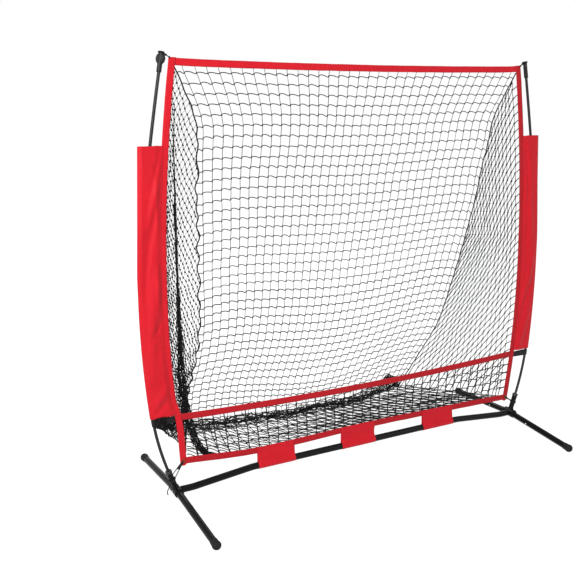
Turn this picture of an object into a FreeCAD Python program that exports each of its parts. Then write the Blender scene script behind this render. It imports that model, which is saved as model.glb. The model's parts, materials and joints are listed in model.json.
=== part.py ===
"""Bow-frame sports net: a steel tube base, two bent poles and a net pocket held open between them.

Millimetres. +X runs along the crossbar, +Y to the back, where the pocket hangs, and +Z up.
The origin is on the floor, under the middle of the whole net.
"""

import FreeCAD, Part

import math
import os

V = FreeCAD.Vector

# Net frame, a square of folded cloth tape that leans back with the poles
NET_WIDTH = 1524.0
NET_TOP = 1536.0
TAPE_WIDTH = 24.0
TAPE_THICKNESS = 2.4
TOP_SAG = 8.0
MID_TAPE_HEIGHT = 313.5
MID_TAPE_SAG = 17.0
SIDE_BULGE_HEIGHT = 720.0
SIDE_UPPER_RADIUS = 5500.0
SIDE_LOWER_RADIUS = 3600.0
LEFT_CORNER_HEIGHT = 135.0
RIGHT_CORNER_HEIGHT = 106.0
BOTTOM_TAPE_DROPS = ((-470.0, 113.0), (-20.0, 118.0), (460.0, 112.0))
FRAME_LEAN = 3.43

# Net pocket behind the frame: height and depth of the back panel at each level above its hem, and how
# far its edge stands in from the net frame's outer edge
BACK_LEVELS = (
    (1330.0, 112.0, 105.0),
    (600.0, 224.0, 156.0),
    (360.0, 318.0, 168.0),
)
HEM_DEPTH = 506.0
HEM_INSET = 210.0
SEAM_ROUTE = (
    (1425.0, 99.0, 62.0),
    (1328.0, 112.0, 103.0),
    (1119.0, 138.0, 114.0),
    (898.0, 175.0, 131.0),
    (640.0, 220.0, 152.0),
    (490.0, 262.0, 162.0),
    (355.0, 320.0, 168.0),
    (228.0, 402.0, 177.0),
)
NET_PITCH = 43.6
TWINE = 2.0
TWINE_BAND = 3.2
COARSE_STEP = 2
SEAM_CORD = 4.4
SEAM_START_DEPTH = 1.7
FOOT_ROPE = 17.0
FOOT_ROPE_LIFT = 0.5
FLOOR_NET_SHORT = 3.0
BACK_NET_DROP = 0.85
NET_HOLD = 7.5
BACK_EDGE_GAP = 5.0
SIDE_EDGE_GAP = 12.0
SMALLEST_GAP = 0.2
FOLD_INSET = 0.4

# Cloth sleeves over the poles
WING_BOTTOM = 328.0
WING_TOP = 1257.0
WING_TOP_OUTSET = 119.0
WING_TAPER = 0.048
WING_CLOTH = 1.0
WING_EASE = 2.0
WING_STATIONS = 17
WING_HEM_SHARE = 0.45
WING_FLAT_SHARE = 0.55

# Cloth loops round the crossbar
TAB_CENTRES = (("tab_left", -390.0), ("tab_middle", -20.0), ("tab_right", 380.0))
TAB_WIDTH = 158.0
TAB_CLOTH = 1.0

# Base tubes
TUBE_DIAMETER = 25.4
TUBE_WALL = 1.2
TUBE_SLIP = 0.1
HUB_OUTSET = 31.0
HUB_HEIGHT = 41.0
HUB_TUBE_HALF = 140.0
HUB_SLEEVE_DIAMETER = 35.0
HUB_SLEEVE_LENGTH = 52.0
LEG_REACH = 349.0
LEG_OVERLAP = 50.0
LEG_NECK = 6.0
FOOT_DIAMETER = 32.0
FOOT_RIM_DIAMETER = 28.0
FOOT_GRIP = 24.0
FOOT_BALL = 22.0
FOOT_FLARE_AT = 13.0
FOOT_FLARE = 0.5
FOOT_FLAT = 0.8
CROSSBAR_HEIGHT = 65.5
CROSSBAR_FLAT_INSET = 305.0
CROSSBAR_RAMP_INSET = 63.0
CROSSBAR_BEND = 250.0
STUB_LENGTH = 38.0
COUPLER_LENGTH = 120.0

# Snap buttons that lock the tubes
BUTTON_DIAMETER = 7.0
BUTTON_PROUD = 3.0
BUTTON_HOLE_EASE = 0.4
BUTTON_ROOT_DEPTH = 3.4
BUTTON_DOME_SHARE = 0.36
LEG_BUTTON_REACH = 115.0
CLIP_THICKNESS = 0.6
CLIP_WIDTH = 6.0
CLIP_REACH = 26.0
CLIP_TAIL = 4.0

# Poles: each stretch of the bow is a bend radius and the lean at its end
POLE_DIAMETER = 11.0
SOCKET_LEAN = 20.0
SOCKET_LENGTH = 77.0
SOCKET_DIAMETER = 21.3
SOCKET_WALL = 1.5
SOCKET_FLOOR = 22.0
BOW = ((1000.0, 6.0), (3540.0, 0.0), (2300.0, -8.25), (12000.0, -10.55))
POLE_JOINT_HEIGHT = 760.0
FERRULE_DIAMETER = 13.6
FERRULE_LENGTH = 96.0
BUSH_FLANGE_DIAMETER = 24.0
BUSH_FLANGE = 11.0
BUSH_ROUNDING = 2.0
BUSH_FLOOR = 4.0

# Tip caps
CAP_NECK_DIAMETER = 16.5
CAP_NECK = 27.0
CAP_PADDLE_WIDTH = 33.0
CAP_PADDLE_THICKNESS = 15.0
CAP_PADDLE = 33.0
CAP_CROWN = 4.0
CAP_RUNOUT = 1.16
CAP_GROOVE_DIAMETER = 12.0
CAP_GROOVE = 4.4
CAP_HEAD_DIAMETER = 20.0
CAP_HEAD = 2.6
CAP_NECK_ROUNDING = 1.6
CAP_HEAD_ROUNDING = 1.2
CAP_TURN = 45.0
POLE_IN_CAP = 34.0

# Elastic cords, webbing and eyelets
ELASTIC = 3.6
CORNER_INSET = 1.0
KNOT_SHARE = 1.25
BOTTOM_CORD_SHARE = 0.62
WEBBING_WIDTH = 24.0
WEBBING = 1.6
STRAP_HEIGHT = 309.0
EYELET_DIAMETER = 13.0
EYELET_BORE = 7.0
EYELET_RIM = 0.8
RIVET_DIAMETER = 4.8
RIVET_HEAD = 7.0
RIVET_CROWN = 2.0

CLEAR = 0.3
SLIDE = 0.05
PAST = 1.0
CORNER_SHARE = 0.45

TUBE_R = TUBE_DIAMETER / 2
BORE_R = TUBE_R - TUBE_WALL
STUB_R = BORE_R - TUBE_SLIP
STUB_BORE_R = STUB_R - TUBE_WALL
BUTTON_ROOT = STUB_BORE_R - BUTTON_ROOT_DEPTH
POLE_R = POLE_DIAMETER / 2
ELASTIC_R = ELASTIC / 2
HALF_TAPE = TAPE_THICKNESS / 2
HEM_HEIGHT = FOOT_ROPE_LIFT + FOOT_ROPE + CLEAR + TWINE / 2
POCKET_LEVELS = BACK_LEVELS + ((HEM_HEIGHT, HEM_DEPTH, HEM_INSET),)
HALF_WIDTH = NET_WIDTH / 2
HEM_HALF_WIDTH = HALF_WIDTH - HEM_INSET
HUB_HALF_SPAN = HALF_WIDTH + HUB_OUTSET
WING_TOP_REACH = HALF_WIDTH + WING_TOP_OUTSET
BACK_INSET = SEAM_CORD / 2 + BACK_EDGE_GAP
SIDE_INSET = SEAM_CORD / 2 + SIDE_EDGE_GAP
TAPE_INSET = HALF_WIDTH - TAPE_WIDTH
SLEEVE_R = HUB_SLEEVE_DIAMETER / 2
SOCKET_R = SOCKET_DIAMETER / 2
HUB = V(HUB_HALF_SPAN, 0, HUB_HEIGHT)
FOOT_AXIS_HEIGHT = FOOT_DIAMETER / 2 - FOOT_FLAT
LEG_SLOPE = math.atan((HUB_HEIGHT - FOOT_AXIS_HEIGHT) / LEG_REACH)


def lean(shape):
    """Tip a shape that was drawn in the upright frame plane back about the hubs."""
    shape.rotate(V(0, 0, HUB_HEIGHT), V(1, 0, 0), -FRAME_LEAN)
    return shape


def leaned(point):
    """Where a point of the upright frame plane lies once the frame leans back."""
    angle = math.radians(FRAME_LEAN)
    up = point.z - HUB_HEIGHT
    back = point.y * math.cos(angle) + up * math.sin(angle)
    return V(point.x, back, HUB_HEIGHT + up * math.cos(angle) - point.y * math.sin(angle))


def plane_height(height):
    """Height in the upright frame plane of what stands at this real height."""
    return HUB_HEIGHT + (height - HUB_HEIGHT) / math.cos(math.radians(FRAME_LEAN))


def mirrored(shape):
    """The left-hand copy of a right-hand shape."""
    return shape.mirror(V(0, 0, 0), V(1, 0, 0))


def sided(shape, side):
    """A right-hand shape on side +1, its mirror image on side -1."""
    return shape if side > 0 else mirrored(shape)


def cylinder(radius, start, direction, length):
    """A round bar from a point along a direction."""
    return Part.makeCylinder(radius, length, start, direction)


def polygon_face(points):
    """A flat face inside a closed outline."""
    return Part.Face(Part.makePolygon(points + [points[0]]))


def bent_route(points, radius=None):
    """Straight runs joined by tangent arcs, and the tightest radius among them."""
    edges = []
    radii = []
    here = points[0]
    for before, corner, after in zip(points, points[1:], points[2:]):
        into = (corner - before).normalize()
        out = (after - corner).normalize()
        half_turn = into.getAngle(out) / 2
        reach = CORNER_SHARE * min(corner.distanceToPoint(before), corner.distanceToPoint(after))
        if radius:
            reach = radius * math.tan(half_turn)
        radii.append(reach / math.tan(half_turn))
        start = corner - into * reach
        end = corner + out * reach
        inward = (out - into).normalize()
        dip = radii[-1] * (1 / math.cos(half_turn) - 1)
        edges.append(Part.LineSegment(here, start).toShape())
        edges.append(Part.Arc(start, corner + inward * dip, end).toShape())
        here = end
    edges.append(Part.LineSegment(here, points[-1]).toShape())
    return Part.Wire(edges), min(radii)


def swept(route, radius):
    """A round bar along a smooth route."""
    first = route.Edges[0]
    start = first.valueAt(first.FirstParameter)
    tangent = first.tangentAt(first.FirstParameter)
    section = Part.Wire([Part.Circle(start, tangent, radius).toShape()])
    return route.makePipeShell([section], True, True)


def drop_outline(centre, radius, tip, tip_radius, place):
    """The tight outline of a band round a circle that runs to a narrow tip."""
    gap_u, gap_v = tip[0] - centre[0], tip[1] - centre[1]
    length = math.hypot(gap_u, gap_v)
    heading = math.atan2(gap_v, gap_u)
    spread = math.acos((radius - tip_radius) / length)

    def on(middle, size, angle):
        return place(middle[0] + size * math.cos(angle), middle[1] + size * math.sin(angle))

    first = heading + spread
    last = heading - spread + 2 * math.pi
    across = heading + math.pi
    big = [on(centre, radius, a) for a in (first, (first + across) / 2, across, (across + last) / 2, last)]
    small = [on(tip, tip_radius, a) for a in (last, heading, first)]
    edges = [
        Part.Arc(big[0], big[1], big[2]).toShape(),
        Part.Arc(big[2], big[3], big[4]).toShape(),
        Part.LineSegment(big[4], small[0]).toShape(),
        Part.Arc(small[0], small[1], small[2]).toShape(),
        Part.LineSegment(small[2], big[0]).toShape(),
    ]
    return Part.Face(Part.Wire(edges))


def band_loop(centre, bore, tip, cloth, place, run):
    """A band of cloth round a bar, both ends meeting at its tip, drawn out along run."""
    tip_half = cloth + CLEAR
    outer = drop_outline(centre, bore + cloth, tip, tip_half, place)
    inner = drop_outline(centre, bore, tip, tip_half - cloth, place)
    return outer.cut(inner).extrude(run)


# Lines of the frame plane


def tape_inner(height):
    """Distance from the middle to the inner edge of a side tape."""
    rise = height - SIDE_BULGE_HEIGHT
    radius = SIDE_UPPER_RADIUS if rise > 0 else SIDE_LOWER_RADIUS
    top_rise = plane_height(NET_TOP) - SIDE_BULGE_HEIGHT
    widest = TAPE_INSET + SIDE_UPPER_RADIUS - math.sqrt(SIDE_UPPER_RADIUS**2 - top_rise**2)
    return widest - radius + math.sqrt(radius**2 - rise**2)


def tape_outer(height):
    """Distance from the middle to the outer edge of a side tape."""
    return tape_inner(height) + TAPE_WIDTH


def bow_stretches():
    """The bends of a pole in the upright frame plane: centre, radius, and lean at both ends."""
    lean_now = math.radians(SOCKET_LEAN)
    x = HUB_HALF_SPAN + SOCKET_LENGTH * math.sin(lean_now)
    z = HUB_HEIGHT + SOCKET_LENGTH * math.cos(lean_now)
    stretches = []
    for radius, end_degrees in BOW:
        end = math.radians(end_degrees)
        centre_x = x - radius * math.cos(lean_now)
        centre_z = z + radius * math.sin(lean_now)
        stretches.append((centre_x, centre_z, radius, lean_now, end))
        x = centre_x + radius * math.cos(end)
        z = centre_z - radius * math.sin(end)
        lean_now = end
    return stretches


STRETCHES = bow_stretches()
SOCKET_WAY = V(math.sin(math.radians(SOCKET_LEAN)), 0, math.cos(math.radians(SOCKET_LEAN)))
SOCKET_TOP = HUB + SOCKET_WAY * SOCKET_LENGTH


def stretch_top(stretch):
    """Height at which one bend of the pole ends."""
    centre_x, centre_z, radius, start, end = stretch
    return centre_z - radius * math.sin(end)


POLE_TIP_HEIGHT = stretch_top(STRETCHES[-1])


def pole_x(height):
    """Distance from the middle to a pole's centre line."""
    if height < SOCKET_TOP.z:
        return HUB_HALF_SPAN + (height - HUB_HEIGHT) * math.tan(math.radians(SOCKET_LEAN))
    for stretch in STRETCHES:
        if height <= stretch_top(stretch) or stretch is STRETCHES[-1]:
            centre_x, centre_z, radius, start, end = stretch
            return centre_x + math.sqrt(radius**2 - (height - centre_z) ** 2)


def pole_way(height):
    """Direction of a pole at a height, upwards."""
    for stretch in STRETCHES:
        if height <= stretch_top(stretch) or stretch is STRETCHES[-1]:
            centre_x, centre_z, radius, start, end = stretch
            angle = math.asin((centre_z - height) / radius)
            return V(math.sin(angle), 0, math.cos(angle))


def pole_point(height):
    """A point on a pole's centre line."""
    return V(pole_x(height), 0, height)


def pole_route(bottom, top):
    """The pole's centre line between two heights."""
    levels = [SOCKET_TOP.z] + [stretch_top(s) for s in STRETCHES]
    stops = [bottom] + [z for z in levels if bottom < z < top] + [top]
    edges = []
    for low, high in zip(stops, stops[1:]):
        if high <= SOCKET_TOP.z:
            edges.append(Part.LineSegment(pole_point(low), pole_point(high)).toShape())
        else:
            middle = pole_point((low + high) / 2)
            edges.append(Part.Arc(pole_point(low), middle, pole_point(high)).toShape())
    return Part.Wire(edges)


# Base


def leg_way(toward):
    """Direction of a leg from its hub, toward -1 for the front and +1 for the back."""
    return V(0, toward * math.cos(LEG_SLOPE), -math.sin(LEG_SLOPE))


def leg_point(toward, reach):
    """A point on a leg's centre line at a distance along Y from the hub."""
    return HUB + leg_way(toward) * (reach / math.cos(LEG_SLOPE))


def button_bore(point, way):
    """The hole that a snap button stands in."""
    return cylinder(BUTTON_DIAMETER / 2 + BUTTON_HOLE_EASE, point, way, TUBE_R + BUTTON_PROUD)


LEG_BUTTON_WAY = V(-1, 0, 0)
STUB_BUTTON_WAY = V(0, 1, 0)
STUB_BUTTON = HUB - V(SLEEVE_R + STUB_LENGTH / 2, 0, 0)


def hub():
    """Right hub: a bent centre tube, its sleeve, the crossbar stub and the pole socket, welded."""
    across = V(-1, 0, 0)
    sleeve_start = HUB - V(0, HUB_SLEEVE_LENGTH / 2, 0)
    body = cylinder(SLEEVE_R, sleeve_start, V(0, 1, 0), HUB_SLEEVE_LENGTH)
    body = body.fuse(cylinder(STUB_R, HUB, across, SLEEVE_R + STUB_LENGTH))
    body = body.fuse(cylinder(SOCKET_R, HUB, leaned(HUB + SOCKET_WAY) - HUB, SOCKET_LENGTH))
    for toward in (-1, 1):
        body = body.fuse(cylinder(TUBE_R, HUB, leg_way(toward), HUB_TUBE_HALF))
    body = body.cut(cylinder(STUB_BORE_R, HUB, across, SLEEVE_R + STUB_LENGTH + PAST))
    body = body.cut(button_bore(STUB_BUTTON, STUB_BUTTON_WAY))
    body = body.cut(cylinder(RIVET_DIAMETER / 2 + SLIDE, HUB, V(1, 0, 0), SLEEVE_R + PAST))
    socket_way = leaned(HUB + SOCKET_WAY) - HUB
    socket_floor = HUB + socket_way * SOCKET_FLOOR
    body = body.cut(cylinder(SOCKET_R - SOCKET_WALL, socket_floor, socket_way, SOCKET_LENGTH))
    for toward in (-1, 1):
        body = body.cut(cylinder(BORE_R, HUB, leg_way(toward), HUB_TUBE_HALF + PAST))
        body = body.cut(button_bore(leg_point(toward, LEG_BUTTON_REACH), LEG_BUTTON_WAY))
    return body.removeSplitter()


def leg(toward):
    """Right leg tube, with the narrowed end that slips into the hub."""
    way = leg_way(toward)
    seat = HUB + way * (HUB_TUBE_HALF + CLEAR)
    narrow_start = HUB + way * (HUB_TUBE_HALF - LEG_OVERLAP)
    far = foot_point(toward, FOOT_GRIP)
    outer = cylinder(TUBE_R, seat, way, seat.distanceToPoint(far))
    outer = outer.fuse(cylinder(STUB_R, narrow_start, way, LEG_OVERLAP + PAST))
    narrow_bore = LEG_OVERLAP + LEG_NECK + 2 * PAST
    outer = outer.cut(cylinder(STUB_BORE_R, narrow_start - way * PAST, way, narrow_bore))
    outer = outer.cut(cylinder(BORE_R, seat + way * LEG_NECK, way, LEG_REACH))
    return outer.cut(button_bore(leg_point(toward, LEG_BUTTON_REACH), LEG_BUTTON_WAY))


def foot_point(toward, depth):
    """A point inside a foot cap, at a depth from its rim."""
    return leg_point(toward, LEG_REACH) + leg_way(toward) * (depth - FOOT_BALL)


def foot_cap(toward):
    """Right rubber end cap: a flared sleeve and a ball, with the small flat that it stands on."""
    way = leg_way(toward)
    side = V(1, 0, 0)
    radius = FOOT_DIAMETER / 2
    rim = FOOT_RIM_DIAMETER / 2
    diagonal = radius * math.sqrt(0.5)

    def at(depth, reach):
        return foot_point(toward, depth) + side * reach

    bore = TUBE_R + SLIDE
    floor = FOOT_GRIP + SLIDE
    widest = at(FOOT_BALL, radius)
    pole = at(FOOT_BALL + radius, 0)
    edges = [
        Part.LineSegment(at(0, bore), at(0, rim)).toShape(),
        Part.Arc(at(0, rim), at(FOOT_FLARE_AT, rim + FOOT_FLARE), widest).toShape(),
        Part.Arc(widest, at(FOOT_BALL + diagonal, diagonal), pole).toShape(),
        Part.LineSegment(pole, at(floor, 0)).toShape(),
        Part.LineSegment(at(floor, 0), at(floor, bore)).toShape(),
        Part.LineSegment(at(floor, bore), at(0, bore)).toShape(),
    ]
    cap = Part.Face(Part.Wire(edges)).revolve(foot_point(toward, 0), way, 360)
    size = 4 * radius
    under = Part.makeBox(size, size, size, V(HUB.x - size / 2, toward * LEG_REACH - size / 2, -size))
    return cap.cut(under)


def crossbar_route(inner_end, outer_end):
    """Right half of the crossbar's centre line, raised between the hubs."""
    points = [
        V(inner_end, 0, CROSSBAR_HEIGHT),
        V(HUB_HALF_SPAN - CROSSBAR_FLAT_INSET, 0, CROSSBAR_HEIGHT),
        V(HUB_HALF_SPAN - CROSSBAR_RAMP_INSET, 0, HUB_HEIGHT),
        V(outer_end, 0, HUB_HEIGHT),
    ]
    return bent_route(points, CROSSBAR_BEND)[0]


def crossbar_half():
    """Right half of the crossbar, from the middle joint to the hub's sleeve."""
    outer_end = HUB_HALF_SPAN - SLEEVE_R - CLEAR
    tube = swept(crossbar_route(CLEAR / 2, outer_end), TUBE_R)
    tube = tube.cut(swept(crossbar_route(CLEAR / 2 - PAST, outer_end + PAST), BORE_R))
    return tube.cut(button_bore(STUB_BUTTON, STUB_BUTTON_WAY))


def crossbar_coupler():
    """Sleeve inside the crossbar's middle joint."""
    start = V(-COUPLER_LENGTH / 2, 0, CROSSBAR_HEIGHT)
    right = V(1, 0, 0)
    tube = cylinder(BORE_R - SLIDE, start, right, COUPLER_LENGTH)
    return tube.cut(cylinder(STUB_BORE_R, start - right * PAST, right, COUPLER_LENGTH + 2 * PAST))


def hub_rivet():
    """Rivet through the outer side of the right hub's sleeve, with a crowned head."""
    out = V(1, 0, 0)
    seat = HUB + out * (SLEEVE_R + SLIDE)
    wall = SLEEVE_R - TUBE_R + TUBE_WALL
    shank = cylinder(RIVET_DIAMETER / 2, seat - out * wall, out, wall)
    crown_radius = ((RIVET_HEAD / 2) ** 2 + RIVET_CROWN**2) / (2 * RIVET_CROWN)
    ball = Part.makeSphere(crown_radius, seat - out * (crown_radius - RIVET_CROWN))
    return shank.fuse(ball.common(cylinder(RIVET_HEAD, seat, out, RIVET_HEAD)))


# Snap buttons


def snap_button(point, way, along):
    """A button on its spring arm, pointing along way, in a tube that runs along along."""
    root = point + way * BUTTON_ROOT
    length = TUBE_R + BUTTON_PROUD - BUTTON_ROOT
    pin = cylinder(BUTTON_DIAMETER / 2, root, way, length)
    top = max(pin.Edges, key=lambda e: e.CenterOfMass.dot(way))
    pin = pin.makeFillet(BUTTON_DIAMETER * BUTTON_DOME_SHARE, [top])
    return pin.fuse(spring_strip(root, way, along, -CLIP_TAIL, CLIP_REACH))


def spring_strip(point, way, along, start, end):
    """A flat strip under a point, across way, from start to end along the tube."""
    side = way.cross(along)
    corner = point + along * start - side * (CLIP_WIDTH / 2) - way * CLIP_THICKNESS
    strip = [corner, corner + along * (end - start), corner + along * (end - start) + side * CLIP_WIDTH]
    strip.append(corner + side * CLIP_WIDTH)
    return polygon_face(strip).extrude(way * CLIP_THICKNESS)


def button_clip(point, way, along):
    """The fixed part of a button's spring: an arm on the far wall and the upright at its bend."""
    half = CLIP_WIDTH / 2
    depth = math.sqrt((STUB_BORE_R - SLIDE) ** 2 - half**2)
    floor = point - way * (depth - CLIP_THICKNESS)
    arm = spring_strip(floor, way, along, -CLIP_TAIL, CLIP_REACH + CLEAR + CLIP_THICKNESS)
    side = way.cross(along)
    height = depth + BUTTON_ROOT
    foot = point - way * depth + along * (CLIP_REACH + CLEAR) - side * half
    upright = [foot, foot + way * height, foot + way * height + side * CLIP_WIDTH, foot + side * CLIP_WIDTH]
    return arm.fuse(polygon_face(upright).extrude(along * CLIP_THICKNESS))


def button_places():
    """Right-hand snap buttons: name, point on the tube's axis, outward way and way along the tube."""
    return (
        ("front", leg_point(-1, LEG_BUTTON_REACH), LEG_BUTTON_WAY, leg_way(-1) * -1),
        ("rear", leg_point(1, LEG_BUTTON_REACH), LEG_BUTTON_WAY, leg_way(1) * -1),
        ("crossbar", STUB_BUTTON, STUB_BUTTON_WAY, V(1, 0, 0)),
    )


# Poles


def socket_bush():
    """Plastic bush that holds the right pole in its socket."""
    foot = HUB + SOCKET_WAY * SOCKET_FLOOR
    body = cylinder(SOCKET_R - SOCKET_WALL - SLIDE, foot, SOCKET_WAY, SOCKET_LENGTH - SOCKET_FLOOR + PAST)
    flange_start = SOCKET_TOP + SOCKET_WAY * SLIDE
    flange = cylinder(BUSH_FLANGE_DIAMETER / 2, flange_start, SOCKET_WAY, BUSH_FLANGE)
    top = max(flange.Edges, key=lambda e: e.CenterOfMass.dot(SOCKET_WAY))
    flange = flange.makeFillet(BUSH_ROUNDING, [top])
    bush = body.fuse(flange)
    low = HUB + SOCKET_WAY * (SOCKET_FLOOR + BUSH_FLOOR)
    bush = bush.cut(swept(pole_route(low.z, SOCKET_TOP.z + 2 * BUSH_FLANGE), POLE_R + SLIDE))
    return lean(bush)


def pole(bottom, top):
    """A length of the right pole between two heights of the frame plane."""
    return lean(swept(pole_route(bottom, top), POLE_R))


def ferrule():
    """Metal sleeve over the joint of the right pole."""
    low = POLE_JOINT_HEIGHT - FERRULE_LENGTH / 2
    high = POLE_JOINT_HEIGHT + FERRULE_LENGTH / 2
    sleeve = swept(pole_route(low, high), FERRULE_DIAMETER / 2)
    return lean(sleeve.cut(swept(pole_route(low - 2 * PAST, high + 2 * PAST), POLE_R + SLIDE)))


POLE_TIP = pole_point(POLE_TIP_HEIGHT)
TIP_WAY = (POLE_TIP - pole_point(POLE_TIP_HEIGHT - POLE_IN_CAP)).normalize()
CAP_BASE = POLE_TIP - TIP_WAY * POLE_IN_CAP


def cap_groove_height():
    """Distance from a cap's lower rim to the middle of its cord groove."""
    return CAP_NECK + CAP_PADDLE + CAP_GROOVE / 2


def tip_cap():
    """Right cap: a neck over the pole's end, a flat paddle, and a grooved head for the cord."""
    up = V(0, 0, 1)
    neck = cylinder(CAP_NECK_DIAMETER / 2, V(0, 0, 0), up, CAP_NECK + CAP_PADDLE)
    neck = neck.makeFillet(CAP_NECK_ROUNDING, [min(neck.Edges, key=lambda e: e.CenterOfMass.z)])
    paddle = Part.makeSphere(0.5)
    stretch = FreeCAD.Matrix()
    stretch.scale(V(CAP_PADDLE_WIDTH, CAP_PADDLE_THICKNESS + CAP_CROWN, CAP_PADDLE * CAP_RUNOUT))
    paddle = paddle.transformGeometry(stretch)
    paddle.translate(V(0, 0, CAP_NECK + CAP_PADDLE / 2))
    slab_size = 2 * CAP_PADDLE_WIDTH
    slab_corner = V(-slab_size / 2, -CAP_PADDLE_THICKNESS / 2, CAP_NECK / 2)
    slab = Part.makeBox(slab_size, CAP_PADDLE_THICKNESS, CAP_NECK / 2 + CAP_PADDLE, slab_corner)
    groove_base = CAP_NECK + CAP_PADDLE
    stem = cylinder(CAP_GROOVE_DIAMETER / 2, V(0, 0, groove_base - PAST), up, CAP_GROOVE + 2 * PAST)
    head = cylinder(CAP_HEAD_DIAMETER / 2, V(0, 0, groove_base + CAP_GROOVE), up, CAP_HEAD)
    head = head.makeFillet(CAP_HEAD_ROUNDING, [max(head.Edges, key=lambda e: e.CenterOfMass.z)])
    cap = neck.fuse(paddle.common(slab)).fuse(stem).fuse(head)
    cap = cap.cut(cylinder(POLE_R + SLIDE, V(0, 0, -PAST), up, POLE_IN_CAP + PAST + SLIDE))
    cap.rotate(V(0, 0, 0), up, CAP_TURN)
    cap.rotate(V(0, 0, 0), V(0, 1, 0), math.degrees(math.atan2(TIP_WAY.x, TIP_WAY.z)))
    cap.translate(CAP_BASE)
    return lean(cap)


# Cloth tapes of the net frame


def tape(face):
    """A tape of the frame plane: its outline drawn at the plane, given its thickness."""
    face.translate(V(0, -HALF_TAPE, 0))
    return lean(face.extrude(V(0, TAPE_THICKNESS, 0)))


def sagging_face(half_width, end_height, sag, width):
    """A level tape's outline that hangs lower in the middle."""
    upper = [V(-half_width, 0, end_height), V(0, 0, end_height - sag), V(half_width, 0, end_height)]
    lower = [p - V(0, 0, width) for p in upper]
    edges = [
        Part.Arc(*upper).toShape(),
        Part.LineSegment(upper[2], lower[2]).toShape(),
        Part.Arc(lower[2], lower[1], lower[0]).toShape(),
        Part.LineSegment(lower[0], upper[0]).toShape(),
    ]
    return Part.Face(Part.Wire(edges))


def top_tape():
    """Tape along the top of the net."""
    return tape(sagging_face(HALF_WIDTH, plane_height(NET_TOP), TOP_SAG, TAPE_WIDTH))


def mid_tape():
    """Red tape across the front, above the low net panel."""
    height = plane_height(MID_TAPE_HEIGHT) + TAPE_WIDTH / 2
    half_width = tape_inner(height - TAPE_WIDTH) - CLEAR
    return tape(sagging_face(half_width, height, MID_TAPE_SAG, TAPE_WIDTH))


def side_edge(line, low, high):
    """An upright edge of a side tape as two tangent arcs."""
    stops = (low, (low + SIDE_BULGE_HEIGHT) / 2, SIDE_BULGE_HEIGHT)
    stops += ((SIDE_BULGE_HEIGHT + high) / 2, high)
    points = [V(line(z), 0, z) for z in stops]
    return [Part.Arc(*points[0:3]).toShape(), Part.Arc(*points[2:5]).toShape()]


def side_tape(side):
    """Tape down one side, with the lower corner that holds the eyelet."""
    low = corner_height(side)
    corner_sag = 4 * TOP_SAG * TAPE_WIDTH / NET_WIDTH
    high = plane_height(NET_TOP) - TAPE_WIDTH - CLEAR - corner_sag
    outer = side_edge(tape_outer, low, high)
    inner = side_edge(tape_inner, low, high)
    top = Part.LineSegment(V(tape_outer(high), 0, high), V(tape_inner(high), 0, high)).toShape()
    bottom = Part.LineSegment(V(tape_inner(low), 0, low), V(tape_outer(low), 0, low)).toShape()
    face = Part.Face(Part.Wire(Part.__sortEdges__(outer + [top] + inner + [bottom])))
    eye = eyelet_point(side)
    hole = Part.Circle(eye, V(0, 1, 0), EYELET_BORE / 2 + EYELET_RIM + CLEAR).toShape()
    face = face.cut(Part.Face(Part.Wire([hole])))
    return sided(tape(face), side)


def corner_height(side):
    """Height of a lower corner of the net frame."""
    return plane_height(RIGHT_CORNER_HEIGHT if side > 0 else LEFT_CORNER_HEIGHT)


def eyelet_point(side):
    """Middle of a lower corner's eyelet, as on the right."""
    height = corner_height(side) + TAPE_WIDTH / 2
    return V(tape_inner(height) + TAPE_WIDTH / 2, 0, height)


def bottom_edge():
    """The bottom tape's lower edge from left to right."""
    ends = [
        V(-tape_inner(corner_height(-1)) + CLEAR, 0, corner_height(-1)),
        V(tape_inner(corner_height(1)) - CLEAR, 0, corner_height(1)),
    ]
    return [ends[0]] + [V(x, 0, plane_height(z)) for x, z in BOTTOM_TAPE_DROPS] + [ends[1]]


def bottom_tape():
    """Tape along the bottom of the net, which the loops pull down."""
    lower = bottom_edge()
    upper = [p + V(0, 0, TAPE_WIDTH) for p in lower]
    upper[0].x = -tape_inner(upper[0].z) + CLEAR
    upper[-1].x = tape_inner(upper[-1].z) - CLEAR
    return tape(polygon_face(lower + upper[::-1]))


def bottom_edge_height(x):
    """Height of the bottom tape's lower edge at a distance from the middle."""
    edge = bottom_edge()
    for left, right in zip(edge, edge[1:]):
        if left.x <= x <= right.x:
            return left.z + (right.z - left.z) * (x - left.x) / (right.x - left.x)


def eyelet(side):
    """Brass ring through a lower corner, with a rim on both faces."""
    eye = eyelet_point(side)
    deep = HALF_TAPE + SLIDE
    barrel = cylinder(EYELET_BORE / 2 + EYELET_RIM, eye - V(0, deep, 0), V(0, 1, 0), 2 * deep)
    for face in (-1, 1):
        rim = cylinder(EYELET_DIAMETER / 2, eye + V(0, face * deep, 0), V(0, face, 0), EYELET_RIM)
        barrel = barrel.fuse(rim)
    bore = cylinder(EYELET_BORE / 2, eye - V(0, 2 * deep, 0), V(0, 1, 0), 4 * deep)
    return sided(lean(barrel.cut(bore)), side)


def crossbar_tab(centre):
    """A cloth loop that ties the bottom tape to the crossbar."""
    edge = min(bottom_edge_height(centre - TAB_WIDTH / 2), bottom_edge_height(centre + TAB_WIDTH / 2))
    tip_z = edge - TAB_CLOTH - 2 * CLEAR
    tip = leaned(V(0, 0, tip_z))

    def place(y, z):
        return V(centre - TAB_WIDTH / 2, y, z)

    bar = (0.0, CROSSBAR_HEIGHT)
    return band_loop(bar, TUBE_R + CLEAR, (tip.y, tip.z), TAB_CLOTH, place, V(TAB_WIDTH, 0, 0))


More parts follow.
